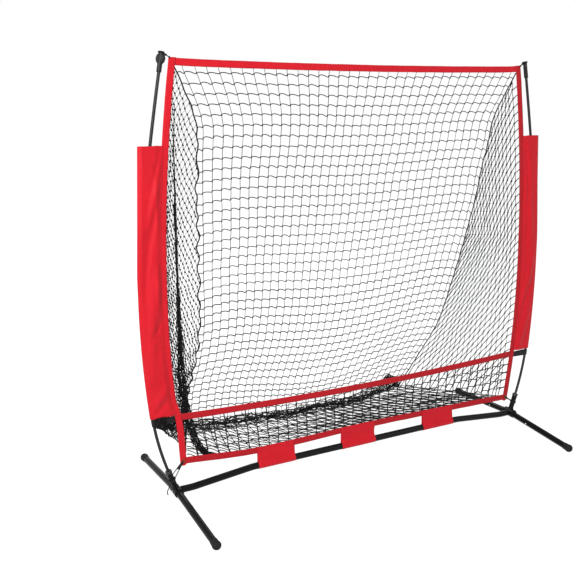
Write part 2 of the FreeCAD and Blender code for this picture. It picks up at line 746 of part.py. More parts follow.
def pole_strap():
    """Webbing from the right side tape round the pole."""
    low = plane_height(STRAP_HEIGHT) - WEBBING_WIDTH / 2
    way = pole_way(low + WEBBING_WIDTH / 2)
    run = way * (WEBBING_WIDTH / way.z)
    tip_x = max(tape_outer(low), tape_outer(low + WEBBING_WIDTH) - run.x) + WEBBING + 2 * CLEAR

    def place(x, y):
        return V(x, y, low)

    middle = pole_point(low + WEBBING_WIDTH / 2) - run / 2
    loop = band_loop((middle.x, 0.0), POLE_R + CLEAR, (tip_x, 0.0), WEBBING, place, run)
    return lean(loop)


# Cloth sleeves


def wing_outer(height):
    """Distance from the middle to a sleeve's outer edge: it fits the pole's lower half and flares above."""
    wrap = POLE_R + WING_EASE + WING_CLOTH
    widest = stretch_top(STRETCHES[1])
    if height < widest:
        return pole_x(height) + wrap
    drawn = WING_TOP_REACH + WING_TAPER * (plane_height(WING_TOP) - height)
    return max(pole_x(height) + wrap, min(drawn, pole_x(widest) + wrap))


def wing_section(height, inset):
    """Outline of a sleeve at one height: flat at the tape, full round the pole."""
    centre = pole_x(height)
    inner = tape_outer(height) + CLEAR + 4 * inset
    outer = wing_outer(height) - inset
    full = POLE_R + WING_EASE + WING_CLOTH - inset
    flat = HALF_TAPE - inset
    hem = WING_HEM_SHARE * full
    half = WING_FLAT_SHARE * full
    front = [(inner, -flat), (centre - half, -full), (centre + half, -full), (outer, -hem)]
    back = [(x, -y) for x, y in reversed(front)]
    points = [V(x, y, height) for x, y in front + back]
    return Part.makePolygon(points + [points[0]])


def wing(side):
    """Cloth sleeve over one pole, open at both ends."""
    low, high = plane_height(WING_BOTTOM), plane_height(WING_TOP)
    step = (high - low) / (WING_STATIONS - 1)
    heights = [low + step * i for i in range(WING_STATIONS)]
    outer = Part.makeLoft([wing_section(z, 0.0) for z in heights], True, True)
    past = [low - PAST] + heights[1:-1] + [high + PAST]
    inner = Part.makeLoft([wing_section(z, WING_CLOTH) for z in past], True, True)
    return sided(lean(outer.cut(inner)), side)


# Net pocket


def mesh_face(face, pitch):
    """A flat net inside an outline: one face with a square gap in each mesh, its normal and gap count."""
    normal = face.normalAt(0, 0)
    up = V(0, 0, 1) - normal * normal.z
    up.normalize()
    across = up.cross(normal)
    field = Part.Face(face.OuterWire.makeOffset2D(-TWINE_BAND))
    corners = [v.Point for v in face.Vertexes]
    base = normal * corners[0].dot(normal)
    columns = [c.dot(across) / pitch for c in corners]
    rows = [c.dot(up) / pitch for c in corners]
    gap = pitch - TWINE_BAND
    holes = []
    for column in range(math.floor(min(columns)), math.ceil(max(columns))):
        for row in range(math.floor(min(rows)), math.ceil(max(rows))):
            corner = base + (across * column + up * row) * pitch + (across + up) * (TWINE_BAND / 2)
            square = [corner, corner + across * gap, corner + (across + up) * gap, corner + up * gap]
            inside = polygon_face(square).common(field)
            holes += [f.OuterWire for f in inside.Faces if f.Area > (gap * SMALLEST_GAP) ** 2]
    net = Part.makeFace([face.OuterWire] + holes, "Part::FaceMakerBullseye")
    return net, normal, len(holes)


def folded_net(panels, pitch):
    """One net as flat panels, each a solid, that all but meet along their folds."""
    solids = []
    gaps = 0
    for corners in panels:
        face = polygon_face(corners).makeOffset2D(-FOLD_INSET)
        face, normal, holes = mesh_face(face, pitch)
        gaps += holes
        face.translate(normal * (-TWINE / 2))
        solids.append(face.extrude(normal * TWINE))
    return Part.makeCompound(solids), gaps


def behind_tape(x, height):
    """A point just behind the tapes, where a net is sewn on."""
    return leaned(V(x, HALF_TAPE + CLEAR + TWINE / 2, height))


def back_level(index, inset):
    """A corner of the back panel on the right, moved outwards by inset."""
    height, depth, edge_inset = POCKET_LEVELS[index]
    return V(HALF_WIDTH - edge_inset + inset, depth, height)


def back_top(inset):
    """The upper corner of the back panel on the right, under the top tape."""
    return behind_tape(TAPE_INSET + inset, plane_height(NET_TOP) - TAPE_WIDTH - TWINE_BAND)


def net_back():
    """Back panel of the pocket, in three flat falls."""
    rights = [back_top(-BACK_INSET)] + [back_level(i, -BACK_INSET) for i in range(len(POCKET_LEVELS))]
    fall = (rights[2].y - rights[0].y) / (rights[2].z - rights[0].z)
    rights[1].y = rights[0].y + fall * (rights[1].z - rights[0].z)
    rights[-1].z -= BACK_NET_DROP
    lefts = [V(-p.x, p.y, p.z) for p in rights]
    upper = lefts[:3] + rights[2::-1]
    middle = [lefts[2], lefts[3], rights[3], rights[2]]
    lower = [lefts[3], lefts[4], rights[4], rights[3]]
    return folded_net([upper, middle, lower], NET_PITCH * COARSE_STEP)


def net_side(side):
    """Side panel of the pocket between a side tape and the back seam, in flat triangles."""
    low = corner_height(side) + TAPE_WIDTH
    heights = [plane_height(z) for z in (BACK_LEVELS[0][0], SIDE_BULGE_HEIGHT, MID_TAPE_HEIGHT)] + [low]
    fronts = [behind_tape(tape_inner(z) + NET_HOLD, z) for z in heights]
    top = behind_tape(TAPE_INSET + NET_HOLD, plane_height(NET_TOP) - 2 * TAPE_WIDTH)
    rears = [back_level(i, SIDE_INSET) for i in range(len(POCKET_LEVELS))]
    panels = [[top, fronts[0], rears[0]]]
    for index in range(3):
        panels.append([fronts[index], fronts[index + 1], rears[index]])
        panels.append([fronts[index + 1], rears[index + 1], rears[index]])
    net, gaps = folded_net(panels, NET_PITCH)
    return sided(net, side), gaps


def net_floor():
    """Floor panel of the pocket, from the bottom tape back to the slack hem."""
    fronts = []
    for side in (-1, 1):
        height = corner_height(side) + TAPE_WIDTH / 2
        corner = behind_tape(tape_inner(height) - NET_HOLD, height)
        fronts.append(V(side * corner.x, corner.y, corner.z))
    inner = HEM_HALF_WIDTH - BACK_INSET
    rears = [V(s * inner, HEM_DEPTH - FLOOR_NET_SHORT, HEM_HEIGHT) for s in (-1, 1)]
    panels = [[fronts[0], fronts[1], rears[1]], [fronts[0], rears[1], rears[0]]]
    return folded_net(panels, NET_PITCH * COARSE_STEP)


def net_front():
    """Low net panel across the front, between the mid tape and the bottom tape."""
    top = plane_height(MID_TAPE_HEIGHT) - TAPE_WIDTH / 2 - CLEAR
    low = [p + V(0, 0, TAPE_WIDTH + CLEAR) for p in bottom_edge()]
    low[0].x = -tape_inner(low[0].z) + CLEAR
    low[-1].x = tape_inner(low[-1].z) - CLEAR
    half_width = tape_inner(top) - 2 * CLEAR
    right, left = V(half_width, 0, top), V(-half_width, 0, top)
    edges = [Part.LineSegment(a, b).toShape() for a, b in zip(low, low[1:] + [right])]
    edges.append(Part.Arc(right, V(0, 0, top - MID_TAPE_SAG), left).toShape())
    edges.append(Part.LineSegment(left, low[0]).toShape())
    face, normal, gaps = mesh_face(Part.Face(Part.Wire(edges)), NET_PITCH)
    face.translate(normal * (-TWINE / 2))
    return lean(face.extrude(normal * TWINE)), gaps


def seam_cord(side):
    """Cord along the seam of the back and side panels, down to the foot rope."""
    seam_r = SEAM_CORD / 2
    start_height = plane_height(NET_TOP) - TAPE_WIDTH - TWINE_BAND
    route = [leaned(V(TAPE_INSET + seam_r, HALF_TAPE + SEAM_START_DEPTH, start_height))]
    route += [V(HALF_WIDTH - inset, depth, height) for height, depth, inset in SEAM_ROUTE]
    route.append(V(HEM_HALF_WIDTH, HEM_DEPTH, HEM_HEIGHT + SEAM_CORD))
    wire, tightest = bent_route(route)
    cord = swept(wire, seam_r)
    report_cord("seam cord", wire, cord, SEAM_CORD, tightest)
    return sided(cord, side)


def foot_rope():
    """The pocket's slack hem, bunched into a limp rope that lies on the floor behind the net."""
    level = FOOT_ROPE / 2 + FOOT_ROPE_LIFT
    waves = ((-1.0, 8), (-0.72, -5), (-0.4, 7), (-0.08, -6), (0.22, 8), (0.5, -6), (0.76, 5), (1.0, 8))
    route = [V(share * HEM_HALF_WIDTH, HEM_DEPTH + wave, level) for share, wave in waves]
    wire, tightest = bent_route(route)
    rope = swept(wire, FOOT_ROPE / 2)
    report_cord("foot rope", wire, rope, FOOT_ROPE, tightest)
    return rope


def report_cord(name, wire, solid, diameter, tightest):
    """Print a cord's length, its tightest bend, and its volume over section times length."""
    ratio = solid.Volume / (math.pi * (diameter / 2) ** 2 * wire.Length)
    print(f"{name}: length {wire.Length:.0f}, tightest radius {tightest:.0f}, volume ratio {ratio:.4f}")


def top_cord():
    """Elastic loop from the right cap's groove to the net's top corner."""
    groove = CAP_BASE + TIP_WAY * cap_groove_height()
    ring_radius = CAP_GROOVE_DIAMETER / 2 + CLEAR + ELASTIC_R
    ring = Part.makeTorus(ring_radius, ELASTIC_R, groove, TIP_WAY)
    height = plane_height(NET_TOP)
    corner = V(HALF_WIDTH - CORNER_INSET, 0, height + ELASTIC_R + CLEAR)
    start = groove + V(-TIP_WAY.z, 0, TIP_WAY.x) * ring_radius
    run = cylinder(ELASTIC_R, start, corner - start, start.distanceToPoint(corner))
    knot = Part.makeSphere(ELASTIC_R * KNOT_SHARE, corner + V(0, 0, ELASTIC_R * (KNOT_SHARE - 1)))
    return lean(ring.fuse([run, knot]))


def bottom_cord(side):
    """Elastic loop from a lower corner's eyelet round the pole socket."""
    eye = eyelet_point(side)
    hold = HUB + SOCKET_WAY * (SOCKET_LENGTH * BOTTOM_CORD_SHARE)
    ring_radius = SOCKET_R + CLEAR + ELASTIC_R
    pieces = [Part.makeTorus(ring_radius, ELASTIC_R, hold, SOCKET_WAY)]
    off = HALF_TAPE + SLIDE + EYELET_RIM + CLEAR + ELASTIC_R
    pieces.append(cylinder(ELASTIC_R, eye - V(0, off, 0), V(0, 1, 0), 2 * off))
    for face in (-1, 1):
        start = eye + V(0, face * off, 0)
        end = hold + V(0, face * ring_radius, 0)
        pieces.append(Part.makeSphere(ELASTIC_R, start))
        pieces.append(cylinder(ELASTIC_R, start, end - start, start.distanceToPoint(end)))
    return sided(lean(pieces[0].fuse(pieces[1:])), side)


# The whole net


def base_parts():
    """Hubs, legs, foot caps, crossbar and rivets."""
    parts = {"crossbar_coupler": crossbar_coupler()}
    rivets = []
    for name, side in (("left", -1), ("right", 1)):
        parts["hub_" + name] = sided(hub(), side)
        parts["crossbar_" + name] = sided(crossbar_half(), side)
        rivets.append(sided(hub_rivet(), side))
        for end, toward in (("front", -1), ("rear", 1)):
            parts[f"leg_{end}_{name}"] = sided(leg(toward), side)
            parts[f"foot_cap_{end}_{name}"] = sided(foot_cap(toward), side)
    parts["hub_rivets"] = Part.makeCompound(rivets)
    return parts


def button_parts():
    """The six snap buttons and the fixed parts of their springs."""
    parts = {}
    clips = []
    for name, side in (("left", -1), ("right", 1)):
        for place, point, way, along in button_places():
            parts[f"button_{place}_{name}"] = sided(snap_button(point, way, along), side)
            clips.append(sided(button_clip(point, way, along), side))
    parts["button_clips"] = Part.makeCompound(clips)
    return parts


def pole_parts():
    """Both poles with their bushes, joints and caps."""
    parts = {}
    foot = (HUB + SOCKET_WAY * (SOCKET_FLOOR + BUSH_FLOOR + CLEAR)).z
    for name, side in (("left", -1), ("right", 1)):
        parts["socket_bush_" + name] = sided(socket_bush(), side)
        parts["pole_lower_" + name] = sided(pole(foot, POLE_JOINT_HEIGHT - SLIDE), side)
        parts["pole_upper_" + name] = sided(pole(POLE_JOINT_HEIGHT + SLIDE, POLE_TIP_HEIGHT), side)
        parts["pole_ferrule_" + name] = sided(ferrule(), side)
        parts["tip_cap_" + name] = sided(tip_cap(), side)
    return parts


def cloth_parts():
    """Tapes, sleeves, loops, straps and eyelets."""
    parts = {"tape_top": top_tape(), "tape_mid": mid_tape(), "tape_bottom": bottom_tape()}
    for name, centre in TAB_CENTRES:
        parts[name] = crossbar_tab(centre)
    for name, side in (("left", -1), ("right", 1)):
        parts["tape_" + name] = side_tape(side)
        parts["sleeve_" + name] = wing(side)
        parts["pole_strap_" + name] = sided(pole_strap(), side)
    parts["corner_eyelets"] = Part.makeCompound([eyelet(-1), eyelet(1)])
    return parts


def net_parts():
    """Net panels and the cords that hold them."""
    parts = {}
    nets = {
        "net_back": net_back(),
        "net_side_left": net_side(-1),
        "net_side_right": net_side(1),
        "net_floor": net_floor(),
        "net_front": net_front(),
    }
    for name, (solid, gaps) in nets.items():
        parts[name] = solid
        print(f"{name}: {gaps} gaps")
    parts["net_foot_rope"] = foot_rope()
    for name, side in (("left", -1), ("right", 1)):
        parts["seam_cord_" + name] = seam_cord(side)
        parts["top_cord_" + name] = sided(top_cord(), side)
        parts["bottom_cord_" + name] = bottom_cord(side)
    return parts


def centred(parts):
    """Move every part so that the origin is on the floor under the middle of the whole."""
    boxes = [shape.optimalBoundingBox(False) for shape in parts.values()]
    middle_y = (min(b.YMin for b in boxes) + max(b.YMax for b in boxes)) / 2
    for shape in parts.values():
        shape.translate(V(0, -middle_y, 0))
    return middle_y


def build():
    """Make every part and write one file for each."""
    parts = {}
    for group in (base_parts, button_parts, pole_parts, cloth_parts, net_parts):
        parts.update(group())
    middle_y = centred(parts)
    print(f"parts {len(parts)}, moved forward {middle_y:.3f}")
    for place, point, way, along in button_places():
        print(f"button {place}: {point.x:.2f} {point.y - middle_y:.2f} {point.z:.2f}")
    tip = leaned(pole_point(POLE_TIP_HEIGHT))
    base = leaned(CAP_BASE)
    axis = (tip - base).normalize()
    print(f"cap axis through {tip.x:.2f} {tip.y - middle_y:.2f} {tip.z:.2f}")
    print(f"cap axis along {axis.x:.5f} {axis.y:.5f} {axis.z:.5f}")
    os.makedirs("parts", exist_ok=True)
    for name, shape in parts.items():
        shape.exportStep(f"parts/{name}.step")
        kinds = f"{len(shape.Solids)} solids, volume {shape.Volume / 1000:.2f} cm3"
        print(f"{name}: {kinds}, valid {shape.isValid()}")


build()
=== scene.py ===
"""Bow-frame sports net, dressed over its frame: knotted nets, folded cloth, webbing, cords and finishes.

Metres, in the part's frame: +X runs along the crossbar, +Y to the back, where the pocket hangs, and +Z up.
"""

import json
import random
from math import atan, atan2, cos, exp, pi, radians, sin, sqrt, tan

import bpy
import numpy as np
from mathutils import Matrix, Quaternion, Vector, noise


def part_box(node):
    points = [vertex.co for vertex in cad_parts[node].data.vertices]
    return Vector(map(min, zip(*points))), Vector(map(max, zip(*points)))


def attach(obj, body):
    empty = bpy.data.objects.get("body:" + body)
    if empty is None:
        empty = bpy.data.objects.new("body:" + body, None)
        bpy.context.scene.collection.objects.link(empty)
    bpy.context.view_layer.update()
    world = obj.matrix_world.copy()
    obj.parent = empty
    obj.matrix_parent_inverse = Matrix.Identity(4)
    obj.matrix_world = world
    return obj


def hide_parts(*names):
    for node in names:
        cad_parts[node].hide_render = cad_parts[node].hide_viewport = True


bl_info = {
    "name": "Bow Net",
    "version": (1, 0, 0),
    "blender": (4, 5, 0),
    "location": "View3D > Sidebar > Bow Net",
    "description": "Knotted nets, cloth, cords, finishes and stage of a bow-frame sports net",
    "category": "Object",
}

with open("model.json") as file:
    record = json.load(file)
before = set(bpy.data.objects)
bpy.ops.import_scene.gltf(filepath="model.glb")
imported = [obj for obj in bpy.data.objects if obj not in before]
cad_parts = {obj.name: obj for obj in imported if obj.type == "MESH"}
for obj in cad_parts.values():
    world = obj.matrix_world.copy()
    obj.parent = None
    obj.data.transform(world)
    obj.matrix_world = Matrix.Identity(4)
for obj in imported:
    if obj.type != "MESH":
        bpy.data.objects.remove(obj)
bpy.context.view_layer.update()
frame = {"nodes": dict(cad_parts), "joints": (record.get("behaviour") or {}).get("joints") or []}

# The base and the lean of the net over it: heights, distances from the middle, the tubes' radius
CROSSBAR_LOW, CROSSBAR_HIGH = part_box("crossbar_left")
HUB_Y = (CROSSBAR_LOW.y + CROSSBAR_HIGH.y) / 2
HUB_X = 0.793
HUB_HEIGHT = 0.041
FOOT_HEIGHT = 0.0152
FOOT_OUT = 0.349
CROSSBAR_HEIGHT = 0.0655
TUBE_RADIUS = 0.0127
LEAN = radians(3.43)
SIDES = (("left", -1), ("right", 1))

# The tapes: their width and plumpness, the frame that they make, and how far each one sags
TAPE = 0.024
TAPE_PLUMP = 0.00085
SIDE_TAPE_PLUMP = 0.0016
BEHIND_TAPE = 0.0025
TOP_HEIGHT = 1.536
HALF_WIDTH = 0.762
BULGE_HEIGHT = 0.72
UPPER_RADIUS = 5.5
LOWER_RADIUS = 3.6
TOP_SAG = 0.008
MID_HEIGHT = 0.3135
MID_SAG = 0.017
CORNER_HEIGHT = {-1: 0.135, 1: 0.106}
# Where the bottom tape dips between its corners: across, and height
BOTTOM_DROPS = ((-0.47, 0.113), (-0.02, 0.118), (0.46, 0.112))
# How far the left tape is drawn inwards, at which height most, and at which no more
NUDGE = 0.0125
NUDGE_HEIGHT = 0.300
NUDGE_END = 0.375

# The poles in their sockets; the elastic's line in a tip cap's groove, up from its joint; the elastics' radii
SOCKET_LEAN = radians(20)
SOCKET_LENGTH = 0.077
POLE_RADIUS = 0.0055
# Radius of each stretch of a pole and its lean at the stretch's upper end, in degrees
BOW = ((1.0, 6.0), (3.54, 0.0), (2.3, -8.25), (12.0, -10.55))
WIDEST_POLE = 0.68
GROOVE_RISE = 0.0282
GROOVE_RADIUS = 0.0076
TOP_ELASTIC = 0.00165
BOTTOM_ELASTIC = 0.0018

# The sleeves: their ends, how far they lie over the tape, their room round the pole, and where the cloth leaves it
SLEEVE_LAP = 0.006
SLEEVE_ROOM = 0.0085
SLEEVE_SHOULDER = 0.881
SLEEVE_TAPER = 0.048
SLEEVE_LOW = {-1: 0.3255, 1: 0.328}
SLEEVE_HIGH = 1.257
# The straps, and the loops round the crossbar
STRAP_HEIGHT = 0.309
STRAP_WIDTH = 0.022
STRAP_THICKNESS = 0.0013
TAB_HALF = 0.079
# Middle of each loop and how closely its front lies on the bar
TABS = (("tab_left", -0.39, 0.2), ("tab_middle", -0.02, 1.0), ("tab_right", 0.38, 0.2))

# Places down the right seam, and along the hem from left to right: across, behind the hubs, height
SEAM = (
    (0.743, 0.092, 1.509), (0.700, 0.099, 1.425), (0.659, 0.112, 1.328), (0.653, 0.124, 1.226),
    (0.646, 0.145, 1.119), (0.640, 0.157, 1.011), (0.630, 0.175, 0.898), (0.622, 0.198, 0.780),
    (0.607, 0.220, 0.657), (0.597, 0.252, 0.529), (0.594, 0.305, 0.390), (0.585, 0.402, 0.228),
    (0.552, 0.506, 0.030),
)
HEM = (
    (-0.552, 0.506, 0.034), (-0.340, 0.492, 0.020), (-0.020, 0.478, 0.016), (0.260, 0.482, 0.016),
    (0.440, 0.498, 0.024), (0.552, 0.506, 0.036),
)
HEM_HALF_WIDTH = 0.552
GROUND_LEVEL = 0.0038

# Rows of the back panel: how far down the seams each ends, in rows, and how far its middle hangs below that
ROW_FALL = ((0, 0), (1, 0.55), (17, 16.45), (25, 24.2), (30, 29.2), (35, 34.9), (41, 41))
ROW_HANG = ((0, 0.2), (15, 0.45), (25, 1.1), (35, 1.9), (40, 0.7), (41, 0))
SIDE_ROW = {-1: 0.017, 1: 0.034}
BACK_ROWS = 41
# How far the pocket's panels belly out
BELLY = 0.028

ACROSS = Vector((1, 0, 0))
BACK = Vector((0, 1, 0))
UP = Vector((0, 0, 1))


# The net frame's lines


def clamp(value, low=0.0, high=1.0):
    """A value held between two limits."""
    return min(max(value, low), high)


def arch(t):
    """0 at both ends of 0 to 1, and 1 half way."""
    return sin(pi * t)


def up_frame(z):
    """Height up the leaning frame of what stands at this real height."""
    return HUB_HEIGHT + (z - HUB_HEIGHT) / cos(LEAN)


def on_frame(x, height, back=0.0):
    """A point of the leaning frame: across it, up it and behind it."""
    up = height - HUB_HEIGHT
    y = back * cos(LEAN) + up * sin(LEAN)
    z = HUB_HEIGHT + up * cos(LEAN) - back * sin(LEAN)
    return Vector((x, HUB_Y + y, z))


NET_TOP = up_frame(TOP_HEIGHT)
WIDEST = HALF_WIDTH - TAPE + UPPER_RADIUS - sqrt(UPPER_RADIUS**2 - (NET_TOP - BULGE_HEIGHT) ** 2)


def tape_inner(height):
    """Distance from the middle to the inner edge of a side tape."""
    rise = height - BULGE_HEIGHT
    radius = UPPER_RADIUS if rise > 0 else LOWER_RADIUS
    return WIDEST - radius + sqrt(radius**2 - rise**2)


def nudge(side, height):
    """How far the left side tape is drawn inwards about the middle tape, where the strap and the net pull."""
    low, middle, high = (up_frame(z) for z in (CORNER_HEIGHT[side], NUDGE_HEIGHT, NUDGE_END))
    share = (height - low) / (middle - low) if height < middle else (high - height) / (high - middle)
    return NUDGE * sin(pi / 2 * clamp(share)) if side < 0 else 0.0


def top_edge(x):
    """Height up the frame of the top tape's upper edge: it sags, and the cords pull its corners up."""
    return NET_TOP - TOP_SAG * (1 - (x / HALF_WIDTH) ** 2) + 0.004 * exp((abs(x) - HALF_WIDTH) / 0.025)


def mid_edge(x):
    """Height up the frame of the middle tape's upper edge."""
    height = up_frame(MID_HEIGHT) + TAPE / 2
    return height - MID_SAG * (1 - (x / tape_inner(height)) ** 2)


def smooth(pairs, key):
    """Value at a key on a smooth line through pairs of key and value."""
    keys = [k for k, value in pairs]
    i = sum(k <= key for k in keys[1:-1])

    def slope(j):
        low, high = pairs[max(j - 1, 0)], pairs[min(j + 1, len(pairs) - 1)]
        return (high[1] - low[1]) / (high[0] - low[0])

    (k0, v0), (k1, v1) = pairs[i], pairs[i + 1]
    gap = k1 - k0
    t = (key - k0) / gap
    rise = v1 - v0
    bend = 3 * rise - gap * (2 * slope(i) + slope(i + 1))
    return v0 + gap * slope(i) * t + bend * t**2 + (gap * (slope(i) + slope(i + 1)) - 2 * rise) * t**3


BOTTOM = [(-tape_inner(up_frame(CORNER_HEIGHT[-1])), up_frame(CORNER_HEIGHT[-1]))]
BOTTOM += [(x, up_frame(z)) for x, z in BOTTOM_DROPS]
BOTTOM += [(tape_inner(up_frame(CORNER_HEIGHT[1])), up_frame(CORNER_HEIGHT[1]))]


def bottom_edge(x):
    """Height up the frame of the bottom tape's lower edge."""
    return smooth(BOTTOM, clamp(x, BOTTOM[0][0], BOTTOM[-1][0]))


def pole_x(height):
    """Distance from the middle to a pole's centre line, at a height up the frame."""
    lean = SOCKET_LEAN
    x = HUB_X + SOCKET_LENGTH * sin(lean)
    z = HUB_HEIGHT + SOCKET_LENGTH * cos(lean)
    if height < z:
        return HUB_X + (height - HUB_HEIGHT) * tan(lean)
    for radius, end_degrees in BOW:
        end = radians(end_degrees)
        centre_x, centre_z = x - radius * cos(lean), z + radius * sin(lean)
        x, z, lean = centre_x + radius * cos(end), centre_z - radius * sin(end), end
        if height <= z:
            break
    return centre_x + sqrt(radius**2 - (height - centre_z) ** 2)


def up_socket(side, reach):
    """A point this far up the middle line of a hub's socket."""
    return on_frame(side * (HUB_X + reach * sin(SOCKET_LEAN)), HUB_HEIGHT + reach * cos(SOCKET_LEAN))


# Lines of points


def length_of(line):
    """Length along a line of points."""
    return float(np.linalg.norm(np.diff(np.array(line, float), axis=0), axis=1).sum())


def jolt(rng, size=1.0):
    """A random step, of up to this size along each axis."""
    return np.array([rng.uniform(-1, 1) for axis in range(3)]) * size


def spaced(line, count):
    """Points at equal distances along a line of points."""
    line = np.array(line, float)
    reach = np.concatenate([[0], np.cumsum(np.linalg.norm(np.diff(line, axis=0), axis=1))])
    stops = np.linspace(0, reach[-1], count)
    return np.stack([np.interp(stops, reach, line[:, axis]) for axis in range(3)], axis=1)


def through(points, count):
    """Points at equal distances along a smooth line through a few points."""
    points = np.array(points, float)
    padded = [2 * points[0] - points[1], *points, 2 * points[-1] - points[-2]]
    fine = []
    for a, b, c, d in zip(padded, padded[1:], padded[2:], padded[3:]):
        for t in np.arange(0, 1, 1 / 12):
            curve = (2 * a - 5 * b + 4 * c - d) * t**2 + (3 * b - a - 3 * c + d) * t**3
            fine.append(0.5 * (2 * b + (c - a) * t + curve))
    fine.append(points[-1])
    return spaced(fine, count)


def at_height(line, z):
    """The point at a height on a line of points that falls all the way."""
    line = np.array(line, float)[::-1]
    return np.array([np.interp(z, line[:, 2], line[:, axis]) for axis in range(3)])


def seam_line(side):
    """The seam as it would hang undisturbed, from the top corner to the hem."""
    return through([(side * x, HUB_Y + y, z) for x, y, z in SEAM], 400)


def hem_point(x):
    """A point of the hem's middle line on the ground."""
    y, z = (smooth([(point[0], point[axis]) for point in HEM], x) for axis in (1, 2))
    return np.array((x, HUB_Y + y, z))


def seam_points(side, swing, seed):
    """The seam from the top corner to the hem, pulled to and fro by the twines that end on it."""
    rng = random.Random(seed)
    line = seam_line(side)
    pulled = [line[0]]
    at, turn = 0.0, 1
    while True:
        at += rng.uniform(0.018, 0.036)
        if at > 0.985:
            break
        here = line[int(at * 399)].copy()
        size = swing * rng.uniform(0.35, 1.0) * clamp((at - 0.1) / 0.12, 0.35)
        here[0] += turn * size
        here[1] += turn * size * 0.3
        pulled.append(here)
        turn = -turn
    pulled.append(line[-1])
    return pulled


# Meshes


def select(*pieces):
    """Select these pieces alone, the first one active."""
    bpy.ops.object.select_all(action="DESELECT")
    for piece in pieces:
        piece.select_set(True)
    bpy.context.view_layer.objects.active = pieces[0]


def apply(piece, kind, **settings):
    """Add a modifier to a piece and apply it."""
    modifier = piece.modifiers.new(kind.title(), kind)
    for key, value in settings.items():
        setattr(modifier, key, value)
    select(piece)
    bpy.ops.object.modifier_apply(modifier=modifier.name)


def joined(name, pieces):
    """Several pieces as one."""
    select(*pieces)
    if len(pieces) > 1:
        bpy.ops.object.join()
    piece = bpy.context.object
    piece.name = piece.data.name = name
    return piece


def tubes(name, lines, radius, resolution=0, kind="POLY"):
    """Round twine or cord along each line of points, as one mesh."""
    bpy.ops.object.select_all(action="DESELECT")
    bpy.ops.curve.primitive_nurbs_path_add(location=(0, 0, 0))
    piece = bpy.context.object
    piece.name = name
    curve = piece.data
    curve.splines.clear()
    curve.bevel_depth = radius
    curve.bevel_resolution = resolution
    curve.use_fill_caps = True
    curve.resolution_u = 8
    for line in lines:
        line = np.array(line, float)
        spline = curve.splines.new(kind)
        spline.points.add(len(line) - 1)
        spline.points.foreach_set("co", np.c_[line, np.ones(len(line))].ravel())
        if kind == "NURBS":
            spline.order_u = 3
            spline.use_endpoint_u = True
    select(piece)
    bpy.ops.object.convert(target="MESH")
    bpy.ops.object.shade_smooth()
    return bpy.context.object


def copies(name, pattern, places, ways):
    """One mesh with a copy of a small pattern at each place, its own X axis along the place's way."""
    points = np.empty(len(pattern.data.vertices) * 3)
    pattern.data.vertices.foreach_get("co", points)
    points = points.reshape(-1, 3)
    # A sphere's points are numbered another way in each run, so they are put in order of place
    order = np.lexsort(points.T)
    number = {old: new for new, old in enumerate(order.tolist())}
    points = points[order]
    faces = []
    for face in pattern.data.polygons:
        corners = [number[corner] for corner in face.vertices]
        first = corners.index(min(corners))
        faces.append((*corners[first:], *corners[:first]))
    faces.sort()
    bpy.data.objects.remove(pattern)
    vertices, polygons = [], []
    for place, way in zip(places, ways):
        turn = np.array(Vector(way).to_track_quat("X", "Z").to_matrix())
        start = len(vertices) * len(points)
        vertices.append(points @ turn.T + np.array(place))
        polygons += [tuple(start + corner for corner in face) for face in faces]
    mesh = bpy.data.meshes.new(name)
    mesh.from_pydata(np.concatenate(vertices).tolist(), [], polygons)
    piece = bpy.data.objects.new(name, mesh)
    bpy.context.scene.collection.objects.link(piece)
    select(piece)
    bpy.ops.object.shade_smooth()
    return piece


def cloth(name, rows, thickness):
    """A sheet of cloth on a grid of points, its pattern laid out in metres, with a thickness."""
    rows = np.array(rows, float)
    along, across = rows.shape[:2]
    bpy.ops.object.select_all(action="DESELECT")
    bpy.ops.mesh.primitive_grid_add(x_subdivisions=across - 1, y_subdivisions=along - 1, size=1)
    piece = bpy.context.object
    piece.name = piece.data.name = name
    piece.data.vertices.foreach_set("co", rows.ravel())
    width = np.linalg.norm(np.diff(rows, axis=1), axis=2).sum(axis=1).mean()
    length = np.linalg.norm(np.diff(rows, axis=0), axis=2).sum(axis=0).mean()
    layer = piece.data.uv_layers.active.data
    laid = np.empty(len(layer) * 2)
    layer.foreach_get("uv", laid)
    layer.foreach_set("uv", (laid.reshape(-1, 2) * (width, length)).ravel())
    piece.data.update()
    apply(piece, "SOLIDIFY", thickness=thickness, offset=0.0)
    bpy.ops.object.shade_smooth()
    return piece


def finished(piece, finish, *nodes):
    """Give a piece its finish, fix it to the frame and hide the CAD nodes that it stands for."""
    piece.data.materials.clear()
    piece.data.materials.append(FINISHES[finish])
    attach(piece, "frame")
    if nodes:
        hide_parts(*nodes)
    return piece


def wobble(x, y=0.0, z=0.0):
    """Soft noise about zero."""
    return noise.noise(Vector((x, y, z)))


# Finishes


def linear(code, alpha=1.0):
    """An sRGB hex colour as Blender's linear colour."""
    parts = [int(code[i : i + 2], 16) / 255 for i in (0, 2, 4)]
    return [c / 12.92 if c <= 0.04045 else ((c + 0.055) / 1.055) ** 2.4 for c in parts] + [alpha]


def add(tree, kind, links=None, **settings):
    """Add a node to a finish, with its settings and with its inputs set or linked."""
    node = tree.nodes.new("ShaderNode" + kind)
    for key, value in settings.items():
        setattr(node, key, value)
    for key, value in (links or {}).items():
        if isinstance(value, bpy.types.NodeSocket):
            tree.links.new(value, node.inputs[key])
        else:
            node.inputs[key].default_value = value
    return node


def blank(name):
    """A new finish with nothing in it."""
    material = bpy.data.materials.new(name)
    material.use_nodes = True
    material.node_tree.nodes.clear()
    return material, material.node_tree


def two_tone(tree, share, colours):
    """Two sRGB hex colours mixed by a share."""
    ends = {"A": linear(colours[0]), "B": linear(colours[1])}
    return add(tree, "Mix", {"Factor": share, **ends}, data_type="RGBA").outputs["Result"]


